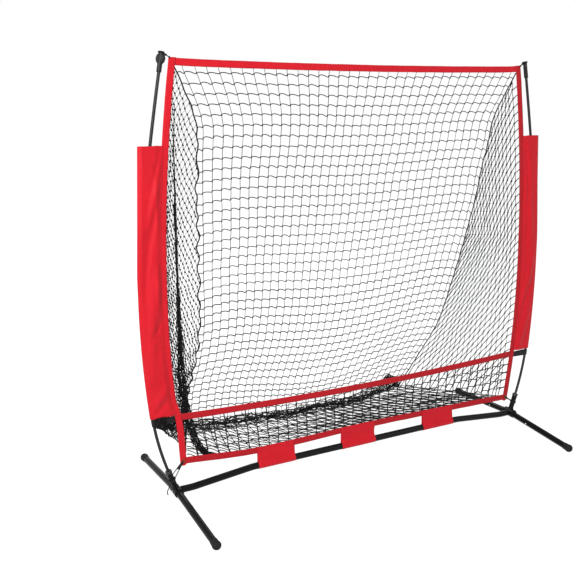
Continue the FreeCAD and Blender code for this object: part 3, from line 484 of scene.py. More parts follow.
def surface(tree, colour, uneven, roughness, height, relief, strength=1.0, **fixed):
    """The shader of a finish, its fixed settings given by their names in small letters.

    roughness is a low and a high value, uneven what it follows, and relief how deep the surface's height goes."""
    rough = add(tree, "MapRange", {"Value": uneven, "To Min": roughness[0], "To Max": roughness[1]})
    bump = add(tree, "Bump", {"Height": height, "Distance": relief, "Strength": strength})
    sockets = {key.replace("_", " ").title().replace("Ior", "IOR"): value for key, value in fixed.items()}
    sockets.update({"Base Color": colour, "Roughness": rough.outputs["Result"], "Normal": bump.outputs["Normal"]})
    shader = add(tree, "BsdfPrincipled", sockets)
    add(tree, "OutputMaterial", {"Surface": shader.outputs["BSDF"]})


def grained(name, colours, patch, roughness, grain, relief, stretch=(1, 1, 1), **fixed):
    """A finish of two close colours in soft patches, with a fine grain in its surface.

    patch and grain are sizes in metres, roughness a low and a high value, relief the grain's height."""
    material, tree = blank(name)
    place = add(tree, "TexCoord").outputs["Object"]
    place = add(tree, "Mapping", {"Vector": place, "Scale": stretch}).outputs["Vector"]
    soft = add(tree, "TexNoise", {"Vector": place, "Scale": 1 / patch, "Detail": 4.0}).outputs["Fac"]
    fine = add(tree, "TexNoise", {"Vector": place, "Scale": 1 / grain, "Detail": 2.0}).outputs["Fac"]
    surface(tree, two_tone(tree, soft, colours), soft, roughness, fine, relief, **fixed)
    return material


def woven(name, colours, thread, rib, roughness, relief, **fixed):
    """A plain weave laid on the piece's own pattern: threads this far apart both ways, rib the share across."""
    material, tree = blank(name)
    laid = add(tree, "TexCoord").outputs["UV"]
    wide = {"Vector": laid, "Scale": pi / thread / 10, "Distortion": 0.0}
    warp = add(tree, "TexWave", wide, bands_direction="X").outputs["Fac"]
    weft = add(tree, "TexWave", {**wide, "Scale": wide["Scale"] * rib}, bands_direction="Y").outputs["Fac"]
    cross = add(tree, "Math", {0: warp, 1: weft}, operation="MULTIPLY").outputs["Value"]
    soft = add(tree, "TexNoise", {"Vector": laid, "Scale": 9.0, "Detail": 5.0}).outputs["Fac"]
    slub = add(tree, "TexNoise", {"Vector": laid, "Scale": 900.0, "Detail": 2.0}).outputs["Fac"]
    # The colour is multiplied down in the gaps between the threads and a little up on their crossings, following the
    # weave's height: painted shade in its hollows and a faint painted highlight on its tops
    depth = add(tree, "MapRange", {"Value": cross, "To Min": 0.82, "To Max": 1.04}).outputs["Result"]
    layers = {"Factor": 1.0, "A": two_tone(tree, soft, colours), "B": depth}
    colour = add(tree, "Mix", layers, data_type="RGBA", blend_type="MULTIPLY").outputs["Result"]
    height = add(tree, "Math", {0: cross, 1: slub}, operation="ADD").outputs["Value"]
    surface(tree, colour, slub, roughness, height, relief, 0.8, **fixed)
    return material


FINISHES = {}


def make_finishes(sizes):
    """All the finishes, each named for what it is and how its surface was made."""
    red, deep = sizes.cloth_red, sizes.cloth_red_deep
    weave = dict(thread=0.0011, rib=1.0, roughness=(0.5, 0.68), relief=0.00012, sheen_weight=0.05,
                 sheen_roughness=0.45, specular_ior_level=0.2)
    FINISHES.update(
        # Plain-woven polyester, printed through in crimson, with a faint sheen along its folds
        polyester=woven("crimson woven polyester", (red, deep), **weave),
        # The same cloth in a darker copy: painted shade, for the tapes across the front and the right side tape,
        # which lie in shade
        polyester_deep=woven("crimson woven polyester in painted shade", (deep, "a00a17"), **weave),
        # Polyester sewing thread, a shade darker than the cloth
        thread=grained("crimson sewing thread", ("94101a", "a81620"), 0.01, (0.45, 0.6), 0.0004, 0.00005),
        # Ribbed polypropylene webbing, matt with pale glints on the ribs
        webbing=woven("black polypropylene webbing", ("131314", "0b0b0c"), 0.0016, 0.5, (0.5, 0.75), 0.0003,
                      specular_ior_level=0.25),
        # Twisted polyethylene twine, near-black and slightly waxy
        twine=grained("black polyethylene twine", (sizes.twine_black, "151515"), 0.02, (0.5, 0.7), 0.0009, 0.0002,
                      specular_ior_level=0.15),
        # Braided cover over a rubber core, dull black
        elastic=grained("braided elastic cord", ("0d0d0e", "1a1a1b"), 0.003, (0.6, 0.8), 0.0011, 0.00035,
                        specular_ior_level=0.2),
        # Powder coat on steel tube: satin, slightly orange-peeled
        coat=grained("black powder-coated steel", (sizes.tube_black, "0b0b0a"), 0.06, (0.18, 0.26), 0.0022, 0.00003,
                     ior=1.5, specular_ior_level=0.12),
        # Weld under the same coat, rougher and duller
        weld=grained("coated weld bead", ("0a0a09", "121211"), 0.004, (0.4, 0.6), 0.0012, 0.0002, ior=1.5,
                     specular_ior_level=0.2),
        # Moulded rubber, matt with a faint bloom
        rubber=grained("moulded black rubber", ("0b0b0b", "141414"), 0.015, (0.6, 0.8), 0.0008, 0.00008,
                       specular_ior_level=0.2),
        # Zinc-plated spring steel, bright with a fine drawn grain
        zinc=grained("zinc-plated steel", ("a9aaac", "c4c5c6"), 0.006, (0.22, 0.36), 0.0006, 0.00003,
                     metallic=1.0),
        # Drawn steel sleeve, greyer and duller
        drawn=grained("drawn steel", ("8e9092", "7c7e80"), 0.01, (0.3, 0.45), 0.0008, 0.00003,
                      stretch=(1, 1, 0.1), metallic=1.0),
        # Moulded nylon bush
        nylon=grained("moulded black nylon", ("0c0c0d", "141416"), 0.01, (0.42, 0.55), 0.0007, 0.00006),
        # Pultruded glass-fibre rod: dark grey, with faint streaks along it
        fibre=grained("pultruded glass fibre", (sizes.pole_grey, "1d1d1f"), 0.006, (0.34, 0.5), 0.0012, 0.00005,
                      stretch=(1, 1, 0.04), specular_ior_level=0.25),
        # Moulded cap plastic, fine spark-eroded grain
        cap=grained("moulded cap plastic", ("0a0a0b", "111112"), 0.012, (0.42, 0.56), 0.0009, 0.00008,
                    specular_ior_level=0.25),
        # Pressed brass, lightly dulled
        brass=grained("pressed brass", ("6a5836", "4c3f27"), 0.004, (0.25, 0.45), 0.0008, 0.00003, metallic=1.0),
    )


# Nets


def knotted(name, bars, places, ways, knot, *nodes):
    """A net's twines and its knots as one piece: bars gives lists of bars by their diameter."""
    strands = [tubes(f"{name}_twine_{i}", lines, twine / 2) for i, (twine, lines) in enumerate(bars.items())]
    bpy.ops.object.select_all(action="DESELECT")
    bpy.ops.mesh.primitive_torus_add(
        major_segments=6, minor_segments=4, major_radius=knot * 0.28, minor_radius=knot * 0.22,
        rotation=(0, pi / 2, 0),
    )
    bpy.ops.object.transform_apply(location=True, rotation=True, scale=True)
    ties = copies(name + "_knots", bpy.context.object, places, ways)
    return finished(joined(name, [*strands, ties]), "twine", *nodes)


def hooked(start, end, rng, size):
    """A bar of a net from one knot to the next: it leaves high, arches over and hangs into the next knot."""
    start, end = np.array(start), np.array(end)
    lift = size * rng.uniform(0.55, 1.3)
    steps = ((0, 0.3), (0.12, 0.9), (0.32, 1.0), (0.6, 0.45), (0.86, -0.5), (1, -0.35))
    return [start + (end - start) * t + np.array([0, 0, lift * rise]) for t, rise in steps]


def slack(start, end, rng, size):
    """A bar of a net that hangs from one knot to the next with a little slack."""
    start, end = np.array(start), np.array(end)
    sway = np.array([rng.uniform(-size, size), rng.uniform(-size, size), 0])
    return [start, start + (end - start) * 0.35 + sway, start + (end - start) * 0.7 + sway * 0.6, end]


class NetSizes(bpy.types.PropertyGroup):
    """Sizes and colours of the nets, cords and cloth."""

    twine: bpy.props.FloatProperty(name="Twine", description="Twine diameter", default=0.0029, unit="LENGTH")
    taut: bpy.props.FloatProperty(name="Taut twine", description="Its diameter", default=0.0023, unit="LENGTH")
    knot: bpy.props.FloatProperty(name="Knot", description="Width of a knot", default=0.0072, unit="LENGTH")
    columns: bpy.props.IntProperty(name="Columns", description="Twines down the back panel", default=34)
    rows: bpy.props.IntProperty(name="Rows", description="Twines across the back panel", default=BACK_ROWS)
    hook: bpy.props.FloatProperty(name="Hook", description="How high a bar arches", default=0.0042, unit="LENGTH")
    swing: bpy.props.FloatProperty(name="Swing", description="Kinks of the left seam", default=0.016, unit="LENGTH")
    seam_cord: bpy.props.FloatProperty(name="Seam cord", description="Its diameter", default=0.0050, unit="LENGTH")
    cloth: bpy.props.FloatProperty(name="Cloth", description="Cloth thickness", default=0.0007, unit="LENGTH")
    cloth_red: bpy.props.StringProperty(name="Cloth", description="Crimson as hex", default="cf0e22")
    cloth_red_deep: bpy.props.StringProperty(name="Deep cloth", description="Deeper crimson", default="b80b1b")
    twine_black: bpy.props.StringProperty(name="Twine colour", description="As hex", default="0b0b0c")
    tube_black: bpy.props.StringProperty(name="Tube colour", description="As hex", default="080808")
    pole_grey: bpy.props.StringProperty(name="Pole colour", description="As hex", default="151516")


class StageSizes(bpy.types.PropertyGroup):
    """The camera: its lens, place, target and roll."""

    lens: bpy.props.FloatProperty(name="Lens", description="Focal length in mm", default=51.63)
    eye: bpy.props.FloatVectorProperty(
        name="Eye", description="The camera's place", default=(-1.7515, -2.6040, 1.5088), subtype="XYZ"
    )
    target: bpy.props.FloatVectorProperty(
        name="Target", description="What it looks at", default=(-0.354, -0.0787, 0.743), subtype="XYZ"
    )
    roll: bpy.props.FloatProperty(name="Roll", description="Its tilt", default=radians(1.11), unit="ROTATION")


SEAMS = {}


def seam(side):
    """The seam's line on one side, made once."""
    if side not in SEAMS:
        sizes = bpy.context.scene.bow_net
        swing, seed = (sizes.swing, 11) if side < 0 else (sizes.swing * 0.28, 12)
        SEAMS[side] = seam_points(side, swing, seed)
    return SEAMS[side]


def row_share(row, u):
    """How far down the seams a row of the back panel lies, u across it: the rows hang and end high."""
    inner = clamp((u - 0.08) / 0.84)
    hang = arch(inner**1.15) ** 1.6 * np.interp(row, *zip(*ROW_HANG))
    ends = (0.5 * exp(-u / 0.04) + 0.3 * exp((u - 1) / 0.024)) * min(row / 14, 1)
    return (np.interp(row, *zip(*ROW_FALL)) + hang + ends) / BACK_ROWS


def back_point(u, t, left, right):
    """A point of the back panel: u across it from the left seam, t down it."""
    t = min(t, 1.0)
    low = t * (len(left) - 1)
    i = min(int(low), len(left) - 2)
    sides = [line[i] + (line[i + 1] - line[i]) * (low - i) for line in (left, right)]
    point = sides[0] * (1 - u) + sides[1] * u
    hem = hem_point(clamp(point[0], -HEM_HALF_WIDTH, HEM_HALF_WIDTH))
    point[1] += BELLY * arch(u) * arch(t) + (hem[1] - HUB_Y - HEM[0][1]) * t**4
    point[2] += (hem[2] - left[-1][2]) * t**8
    point[0] += 0.0025 * wobble(u * 7, t * 6, 3.1)
    return point


class NETBOW_OT_back(bpy.types.Operator):
    """Back panel of the pocket"""

    bl_idname = "bow_net.back"
    bl_label = "Back net"

    def execute(self, context):
        sizes = context.scene.bow_net
        rng = random.Random(5)
        left, right = (seam_line(side) for side in (-1, 1))
        columns = [(c - 0.4) / (sizes.columns + 0.2) for c in range(1, sizes.columns + 1)]
        ends = [[], []]
        grid = []

        def at(u, row):
            return back_point(u, row_share(row * BACK_ROWS / sizes.rows, u), left, right)

        for row in range(sizes.rows + 1):
            line = []
            for u in columns:
                point = at(u, row)
                if row == 0:
                    point = np.array(on_frame(point[0], top_edge(point[0]) - TAPE + 0.002, 0.002))
                line.append(point + jolt(rng, 0.0009))
            grid.append(line)
            for u, side, found in ((0, -1, ends[0]), (1, 1, ends[1])):
                found.append(at_height(seam(side), at(u, row)[2]))
        level, low, down, places, ways = [], [], [], [], []
        for row in range(1, sizes.rows):
            line = [ends[0][row]] + grid[row] + [ends[1][row]]
            bars = level if row < sizes.rows * 0.55 else low
            bars += [hooked(a, b, rng, sizes.hook) for a, b in zip(line, line[1:])]
            places += grid[row]
            ways += [(1, rng.uniform(-0.4, 0.1), rng.uniform(0.7, 1.4)) for point in grid[row]]
        for upper, lower in zip(grid, grid[1:]):
            down += [slack(a, b, rng, 0.0010) for a, b in zip(upper, lower)]
        bars = {sizes.twine * 1.1: level, sizes.twine * 1.35: low, sizes.taut: down}
        knotted("net_back_mesh", bars, places, ways, sizes.knot, "net_back")
        return {"FINISHED"}


def side_lattice(side, pitches, steps, rng):
    """A side panel's bars and knots: level rows between the side tape and the seam.

    pitches are the knots' spacing at the top, half way down and at the bottom."""
    corner = up_frame(CORNER_HEIGHT[side]) + TAPE * 0.6
    heights = np.linspace(NET_TOP - TAPE - 0.003, corner, 60)
    front = np.array([on_frame(side * (tape_inner(h) + 0.003 - nudge(side, h)), h, BEHIND_TAPE) for h in heights])
    rear = seam(side)
    top = front[0][2]
    rows = int((top - front[-1][2]) / SIDE_ROW[side])

    def ends(row):
        if row > rows:
            return front[-1], rear[-1]
        z = top - row * SIDE_ROW[side]
        return at_height(front, z), at_height(rear, z)

    def at(share, row):
        near, far = ends(row)
        out = BELLY * arch(share) * arch(clamp(row / rows)) ** 0.5
        out += 0.004 * wobble(row * 0.3, share * 3, side * 5.0) * arch(share)
        return near * (1 - share) + far * share + np.array((side * 0.4, 0.92, 0.0)) * out

    def width(row):
        near, far = ends(row)
        return max(float(np.linalg.norm(near - far)), 0.001)

    def pitch(row):
        return np.interp(row / rows, (0, 0.5, 1), pitches)

    def across(k, row):
        return min(k * pitch(row) / width(row), 1.0)

    knots = {}
    for row in range(1, rows + 1):
        for k in range(1, int((width(row) - pitch(row) * 0.35) / pitch(row)) + 1):
            if side < 0 and (k + row) % 2:
                continue
            step = jolt(rng, 0.0018)
            knots[k, row] = at(across(k, row), row) + step
    bars = {twine: [] for twine in steps.values()}
    for (k, row), here in knots.items():
        for (dk, dm), twine in steps.items():
            for way in (1, -1):
                near = (k + dk * way, row + dm * way)
                if near in knots:
                    if way > 0:
                        bars[twine].append(slack(here, knots[near], rng, 0.0018))
                    continue
                if near[1] > rows:
                    end = at(across(k, row), near[1])
                elif near[0] < 1:
                    end = at(0.0, row + dm * way * 0.5)
                else:
                    end = at(across(*near), near[1])
                bars[twine].append(slack(here, end, rng, 0.0014))
    bars[max(bars)].append([at(share, rows + 1) for share in np.linspace(0, 1, 24)])
    return bars, list(knots.values())


class NETBOW_OT_sides(bpy.types.Operator):
    """Side panels of the pocket"""

    bl_idname = "bow_net.sides"
    bl_label = "Side nets"

    def execute(self, context):
        sizes = context.scene.bow_net
        for name, side in SIDES:
            rng = random.Random(20 + side)
            if side < 0:
                steps, pitches = {(1, 1): sizes.taut, (-1, 1): sizes.taut * 0.62}, (0.0085, 0.0105, 0.0125)
            else:
                steps, pitches = {(1, 1): sizes.twine * 1.2, (0, 1): sizes.taut * 1.05}, (0.019, 0.0135, 0.023)
            bars, places = side_lattice(side, pitches, steps, rng)
            ways = [(0.5, side * rng.uniform(0.5, 1), rng.uniform(0.4, 1.2)) for place in places]
            knotted(f"net_side_{name}_mesh", bars, places, ways, sizes.knot * 1.3, "net_side_" + name)
        return {"FINISHED"}


def ruled_net(first, second, columns, rows, rng, sizes, sag, skew=0):
    """A net between two lines of points: its bars, each column tied this many rows on, and its knots."""
    first, second = spaced(first, columns + 2), spaced(second, columns + 2)
    grid = []
    for row in range(rows + 1):
        t = row / rows
        line = []
        for i, (a, b) in enumerate(zip(first, second)):
            drop = sag * arch(t) * sin(pi * (i + 0.5) / (columns + 2)) ** 0.3
            step = jolt(rng, 0.0016 if 0 < row < rows else 0)
            line.append(a * (1 - t) + b * t - np.array([0, 0, drop]) + step)
        grid.append(line)
    bars = []
    for row in range(rows + 1):
        for i in range(columns + 1):
            if 0 < row < rows and 0 <= row - skew:
                bars.append(hooked(grid[row][i], grid[row - skew][i + 1], rng, sizes.hook))
    for upper, lower in zip(grid, grid[1:]):
        bars += [slack(a, b, rng, 0.0012) for a, b in zip(upper[1:-1], lower[1:-1])]
    return bars, [point for line in grid[1:-1] for point in line[1:-1]]


class NETBOW_OT_low(bpy.types.Operator):
    """Floor panel of the pocket and the low panel across the front"""

    bl_idname = "bow_net.low"
    bl_label = "Low nets"

    def execute(self, context):
        sizes = context.scene.bow_net
        rng = random.Random(31)
        xs = np.linspace(BOTTOM[0][0] + 0.004, BOTTOM[-1][0] - 0.004, 60)
        first = [on_frame(x, bottom_edge(x) + TAPE * 0.7, BEHIND_TAPE) for x in xs]
        second = [hem_point(x) - np.array((0, 0.004, 0)) for x in np.linspace(-HEM_HALF_WIDTH, HEM_HALF_WIDTH, 60)]
        bars, places = ruled_net(first, second, 33, 8, rng, sizes, 0.012, 1)
        ways = [(1, rng.uniform(0.5, 1.2), rng.uniform(-0.3, 0.3)) for place in places]
        knotted("net_floor_mesh", {sizes.twine * 1.35: bars}, places, ways, sizes.knot * 1.1, "net_floor")

        half = tape_inner(up_frame(0.3)) - 0.001
        xs = np.linspace(-half, half, 60)
        first = [on_frame(x, mid_edge(x) - TAPE, 0.0) for x in xs]
        xs = np.linspace(BOTTOM[0][0] + 0.002, BOTTOM[-1][0] - 0.002, 60)
        second = [on_frame(x, bottom_edge(x) + TAPE, 0.0) for x in xs]
        bars, places = ruled_net(first, second, 35, 5, rng, sizes, 0.002)
        ways = [(1, rng.uniform(-0.3, 0.3), rng.uniform(0.7, 1.4)) for place in places]
        knotted("net_front_mesh", {sizes.twine * 1.5: bars}, places, ways, sizes.knot * 1.1, "net_front")
        return {"FINISHED"}


def gathered(name, route, strands, reach, spread, seed, floor=None, step=0.017, late=0.0):
    """Net drawn together into a loose rope: strands that wander about a route, with their knots.

    reach gives the rope's half width at a share of its length, spread the two ways it spreads, and
    late how far along the route the last of the strands joins it."""
    sizes = bpy.context.scene.bow_net
    rng = random.Random(seed)
    line = through(route, max(int(length_of(route) / step), 4))
    bars, places, ways = [], [], []
    for strand in range(strands):
        angle, size = rng.uniform(0, 2 * pi), rng.uniform(0.2, 1)
        points = []
        for i in range(int(len(line) * late * (strand / strands) ** 0.6), len(line)):
            share = i / (len(line) - 1)
            angle += rng.uniform(-0.9, 0.9)
            size = clamp(size + rng.uniform(-0.35, 0.35), 0.05)
            off = spread[0] * cos(angle) + spread[1] * sin(angle)
            here = line[i] + np.array(off) * reach(share) * size
            if floor is not None:
                here[2] = max(here[2], floor + rng.uniform(0, 0.001))
            points.append(here)
            if (i + strand) % 3 == 0:
                places.append(here)
                ways.append(jolt(rng))
        bars.append(points)
    return knotted(name, {sizes.twine: bars}, places, ways, sizes.knot)


class NETBOW_OT_gathers(bpy.types.Operator):
    """Slack net: the hem on the ground, the fold in the left side and the bunch at its strap"""

    bl_idname = "bow_net.gathers"
    bl_label = "Gathered net"

    def execute(self, context):
        waves = (0.006, -0.005, 0.004, -0.006, 0.005, -0.004, 0.005, 0.0)
        xs = np.linspace(-HEM_HALF_WIDTH, HEM_HALF_WIDTH, len(waves))
        route = [hem_point(x) + np.array((0, wave, 0)) for x, wave in zip(xs, waves)]
        piece = gathered("net_hem_gather", route, 30, lambda t: 0.022 + 0.003 * sin(t * 31),
                         (BACK * 1.25, UP * 1.15), 41, floor=GROUND_LEVEL, step=0.020)
        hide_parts("net_foot_rope")
        tuft = ((0.45, 0.004, 0.03), (0.49, 0.006, 0.048), (0.54, 0.0, 0.020))
        route = [hem_point(x) + np.array((0, back, rise)) for x, back, rise in tuft]
        gathered("net_hem_tuft", route, 26, lambda t: 0.008 + 0.012 * arch(t), (BACK, UP), 42,
                 floor=GROUND_LEVEL, step=0.009)

        fold = ((-0.742, 0.104, 1.37), (-0.745, 0.102, 1.2), (-0.744, 0.100, 1.0), (-0.739, 0.098, 0.75),
                (-0.731, 0.094, 0.5), (-0.729, 0.080, 0.36), (-0.722, 0.058, 0.27), (-0.702, 0.044, 0.195),
                (-0.668, 0.040, 0.143), (-0.63, 0.046, 0.124))
        route = [(x, HUB_Y + y, z) for x, y, z in fold]
        gathered("net_fold_left", route, 25, lambda t: 0.0045 + 0.0125 * clamp((t - 0.45) / 0.25), (ACROSS, BACK), 43,
                 late=0.62)

        bunch = ((-0.866, 0.311, -0.007), (-0.835, 0.302, -0.010), (-0.812, 0.288, 0.006), (-0.766, 0.264, 0.019))
        route = [on_frame(x, up_frame(z), back) for x, z, back in bunch]
        gathered("net_bunch_left", route, 46, lambda t: 0.016 + 0.042 * t, (UP, BACK * 0.16), 47, step=0.008)
        return {"FINISHED"}


class NETBOW_OT_cords(bpy.types.Operator):
    """Seam cords and elastic loops"""

    bl_idname = "bow_net.cords"
    bl_label = "Cords"

    def execute(self, context):
        sizes = context.scene.bow_net
        for name, side in SIDES:
            piece = tubes(f"seam_cord_{name}_twine", [seam(side)], sizes.seam_cord / 2, 2, "NURBS")
            finished(piece, "twine", "seam_cord_" + name)
        for name, side in SIDES:
            finished(top_loop(side, name), "elastic", "top_cord_" + name)
            finished(bottom_loop(side, name), "elastic", "bottom_cord_" + name)
        return {"FINISHED"}


def ring(centre, axis, radius, count):
    """Points of a closed ring."""
    turn = Vector(axis).to_track_quat("Z", "X")
    angles = [2 * pi * i / count for i in range(count + 1)]
    return [centre + turn @ Vector((cos(a) * radius, sin(a) * radius, 0)) for a in angles]


def top_loop(side, name):
    """Elastic loop round a cap's groove, knotted, with both runs to the net's top corner."""
    joint = next(j for j in frame["joints"] if j["child"] == "tip_cap_" + name)
    axis = Vector(joint["axis"]).normalized()
    groove = Vector(joint["pos_m"]) + axis * GROOVE_RISE
    inward = Vector((-side, 0, 0)) - axis * axis.dot(Vector((-side, 0, 0)))
    inward.normalize()
    corner = on_frame(side * (HALF_WIDTH - 0.003), NET_TOP + 0.0010, -0.0030)
    start = groove + inward * GROOVE_RADIUS
    turns = ((-0.0006, 0.0), (0.0004, 0.0028), (0.0024, 0.0014))
    lines = [ring(groove + axis * rise, axis, GROOVE_RADIUS + out, 24) for rise, out in turns]
    for off in (-1, 1):
        bend = Vector((0, off * 0.0017, 0))
        lines.append([start + bend * 0.6, start.lerp(corner, 0.35) + bend, start.lerp(corner, 0.7) - bend * 0.6,
                      corner + bend * 0.4])
    cord = tubes(f"top_cord_{name}_loop", lines, TOP_ELASTIC, 2, "NURBS")
    knot_lines = [ring(start.lerp(corner, share), (corner - start).normalized(), 0.0026, 10)
                  for share in (0.3, 0.42, 0.93)]
    knot = tubes("top_knot", knot_lines, 0.0016, 2, "NURBS")
    return joined(f"top_cord_{name}_loop", [cord, knot])


def bottom_loop(side, name):
    """Elastic from a lower corner's eyelet round the pole socket and back, doubled."""
    height = up_frame(CORNER_HEIGHT[side]) + TAPE / 2
    eye_x = side * (tape_inner(height) + TAPE / 2)
    hold = up_socket(side, SOCKET_LENGTH * 0.62)
    axis = (up_socket(side, 0.2) - hold).normalized()
    radius = 0.0125
    lines = [ring(hold, axis, radius, 28), ring(hold + axis * 0.0036, axis, radius, 28)]
    for face in (-1, 1):
        eye = on_frame(eye_x, height, face * 0.0042)
        end = hold + Vector((0, face * radius, 0)) + axis * (0.0018 * (1 + face))
        lines.append([on_frame(eye_x, height, face * 0.0005), eye, eye.lerp(end, 0.12), eye.lerp(end, 0.5), end])
    middle = on_frame(eye_x, height)
    way = (hold - middle).normalized()
    knot = middle + way * 0.012
    lines += [ring(knot + way * step, way, 0.0036, 12) for step in (-0.0026, 0.0004)]
    for off in (Vector((0.0022, -0.002, 0)), Vector((-0.0022, 0.002, 0)), Vector((0, -0.003, 0.002))):
        lines.append([on_frame(eye_x, height, -0.0042), knot + off, knot + way * 0.022 + off * 0.7])
    if side < 0:
        tail = ((-0.806, -0.096, 0.089), (-0.819, -0.088, 0.079), (-0.828, -0.092, 0.064), (-0.836, -0.092, 0.050),
                (-0.830, -0.090, 0.037))
        lines.append(tail)
    return tubes(f"bottom_cord_{name}_loop", lines, BOTTOM_ELASTIC, 2, "NURBS")


# Cloth

# A folded tape's section: share of its width in from the fold, and depth as a share of its plumpness
TAPE_PROFILE = ((1, 1.0), (0.8, 1.02), (0.6, 1.06), (0.4, 1.06), (0.2, 1.0), (0.07, 0.8), (0.0, 0.35),
                (0.0, -0.35), (0.07, -0.8), (0.2, -1.0), (0.4, -1.06), (0.6, -1.06), (0.8, -1.02), (1, -1.0))


# By default a tape takes the darker copy of the cloth, painted shade
def folded_tape(name, outer, inner, length, seed, plump, stitched=(0.86,), finish="polyester_deep", eyelet=-1.0):
    """A cloth tape folded over its outer edge and sewn along its inner edge, this plump, with its stitches.

    An eyelet this far along presses it flat."""
    sizes = bpy.context.scene.bow_net
    stations = int(length / 0.012)
    rows = []
    lines = {(face, share): [] for face in (1, -1) for share in stitched}
    for t in [0.0, 0.0006, 0.0016, 0.0032, 0.0055] + [i / stations for i in range(1, stations + 1)]:
        (outer_x, outer_h), (inner_x, inner_h) = outer(t), inner(t)

        def inwards(share):
            return outer_x + (inner_x - outer_x) * share, outer_h + (inner_h - outer_h) * share

        along = t * length
        sway = 0.0007 * wobble(along / 0.11, seed)
        full = plump * (1 + 0.35 * wobble(along / 0.035, seed, 4.2))
        full *= 1 - 0.65 * exp(-(((along - eyelet) / 0.012) ** 4))
        row = []
        for share, depth in TAPE_PROFILE:
            share += 0.0006 * wobble(along / 0.05, seed, share * 3) / TAPE
            row.append(on_frame(*inwards(share), sway + depth * full))
        rows.append(row)
        for (face, share), line in lines.items():
            line.append(on_frame(*inwards(share), sway + face * (full + sizes.cloth / 2 + 0.0001)))
    piece = cloth(name + "_fold", rows, sizes.cloth)
    finished(piece, finish, name)
    sewn = stitches(name + "_stitches", lines.values())
    return piece


def stitches(name, lines, length=0.0032, gap=0.0014):
    """Rows of machine stitches along lines of points on cloth."""
    bpy.ops.object.select_all(action="DESELECT")
    bpy.ops.mesh.primitive_uv_sphere_add(segments=5, ring_count=4, radius=1)
    pattern = bpy.context.object
    for vertex in pattern.data.vertices:
        x, y, z = vertex.co
        vertex.co = (z * length / 2, x * 0.00032, y * 0.00022)
    places, ways = [], []
    for line in lines:
        stops = spaced(line, max(int(length_of(line) / (length + gap)), 2))
        for a, b in zip(stops, stops[1:]):
            places.append((a + b) / 2)
            ways.append(b - a)
    return finished(copies(name, pattern, places, ways), "thread")


class NETBOW_OT_tapes(bpy.types.Operator):
    """Folded cloth tapes round the net"""

    bl_idname = "bow_net.tapes"
    bl_label = "Tapes"

    def execute(self, context):
        def level(edge, half, drop):
            return lambda t: (-half + 2 * half * t, edge(-half + 2 * half * t) + drop)

        # The top tape has two more rows of stitches near its fold, which draw a darker line along its upper edge
        folded_tape("tape_top", level(top_edge, HALF_WIDTH, 0), level(top_edge, HALF_WIDTH, -TAPE),
                    2 * HALF_WIDTH, 1.3, TAPE_PLUMP, (0.09, 0.16, 0.86), "polyester")
        # The middle and bottom tapes take the default finish, the darker copy of the cloth painted as shade
        half = tape_inner(mid_edge(0.7) - TAPE) + 0.004
        folded_tape("tape_mid", level(mid_edge, half, 0), level(mid_edge, half, -TAPE), 2 * half, 2.9, TAPE_PLUMP,
                    (0.14, 0.86))
        low, high = BOTTOM[0][0] - TAPE * 0.7, BOTTOM[-1][0] + TAPE * 0.7

        def lower(t):
            x = low + (high - low) * t
            return x, bottom_edge(x) + 0.0006

        folded_tape("tape_bottom", lower, lambda t: (lower(t)[0], lower(t)[1] + TAPE), high - low, 4.4, TAPE_PLUMP)
        for name, side in SIDES:
            foot = up_frame(CORNER_HEIGHT[side]) - 0.005
            top = NET_TOP + 0.0025

            def edge(t, share):
                height = foot + (top - foot) * t
                rounding = max(0.0, 1 - (height - foot) / 0.010)
                half = (share - 0.5) * TAPE * sqrt(1 - 0.9 * rounding**2)
                return side * (tape_inner(height) + TAPE / 2 + half - nudge(side, height)), height

            # The right side tape takes the darker copy of the cloth, painted shade; the left one takes the plain
            # cloth
            folded_tape("tape_" + name, lambda t: edge(t, 1), lambda t: edge(t, 0), top - foot, 6.1 + side,
                        SIDE_TAPE_PLUMP, (0.14, 0.86), "polyester" if side < 0 else "polyester_deep",
                        0.005 + TAPE / 2)
        return {"FINISHED"}


def creased(u, v, size, creases):
    """How far cloth stands out at a point, from creases given as start, end, width and height."""
    here = Vector((u * size[0], v * size[1]))
    rise = 0.0
    for (u0, v0), (u1, v1), width, height in creases:
        start, end = Vector((u0 * size[0], v0 * size[1])), Vector((u1 * size[0], v1 * size[1]))
        way = end - start
        share = clamp((here - start).dot(way) / way.length_squared)
        away = (here - start - way * share).length
        fade = arch(clamp(share, 0.06, 0.94)) ** 0.5
        rise += height * fade * exp(-((away / width) ** 2))
    return rise


# Creases of each sleeve's front, and of the other's rear: start and end as shares out from the tape and up
# the sleeve, width and height
SLEEVE_CREASES = {
    -1: (((0.12, 1.0), (0.55, 0.80), 0.012, -0.0075), ((0.55, 0.80), (0.80, 0.45), 0.014, -0.007),
         ((0.26, 0.95), (0.66, 0.62), 0.016, 0.008), ((0.24, 0.80), (0.82, 0.54), 0.014, -0.008),
         ((0.05, 0.37), (0.60, 0.30), 0.009, -0.006), ((0.02, 0.11), (0.80, 0.05), 0.016, 0.006),
         ((0.25, 0.56), (0.75, 0.16), 0.020, 0.007), ((0.20, 0.06), (0.75, 0.02), 0.010, -0.005),
         ((0.30, 0.90), (0.20, 0.70), 0.010, 0.005), ((0.15, 0.55), (0.22, 0.40), 0.012, 0.005)),
    1: (((0.10, 0.98), (0.32, 0.70), 0.013, -0.007), ((0.48, 0.92), (0.52, 0.50), 0.018, 0.007),
        ((0.25, 0.66), (0.22, 0.42), 0.012, -0.006), ((0.74, 0.46), (0.16, 0.22), 0.015, 0.008),
        ((0.55, 0.30), (0.10, 0.10), 0.011, -0.007), ((0.66, 0.85), (0.60, 0.60), 0.013, -0.005),
        ((0.75, 0.20), (0.28, 0.03), 0.013, 0.006), ((0.20, 0.84), (0.16, 0.72), 0.010, 0.005)),
}


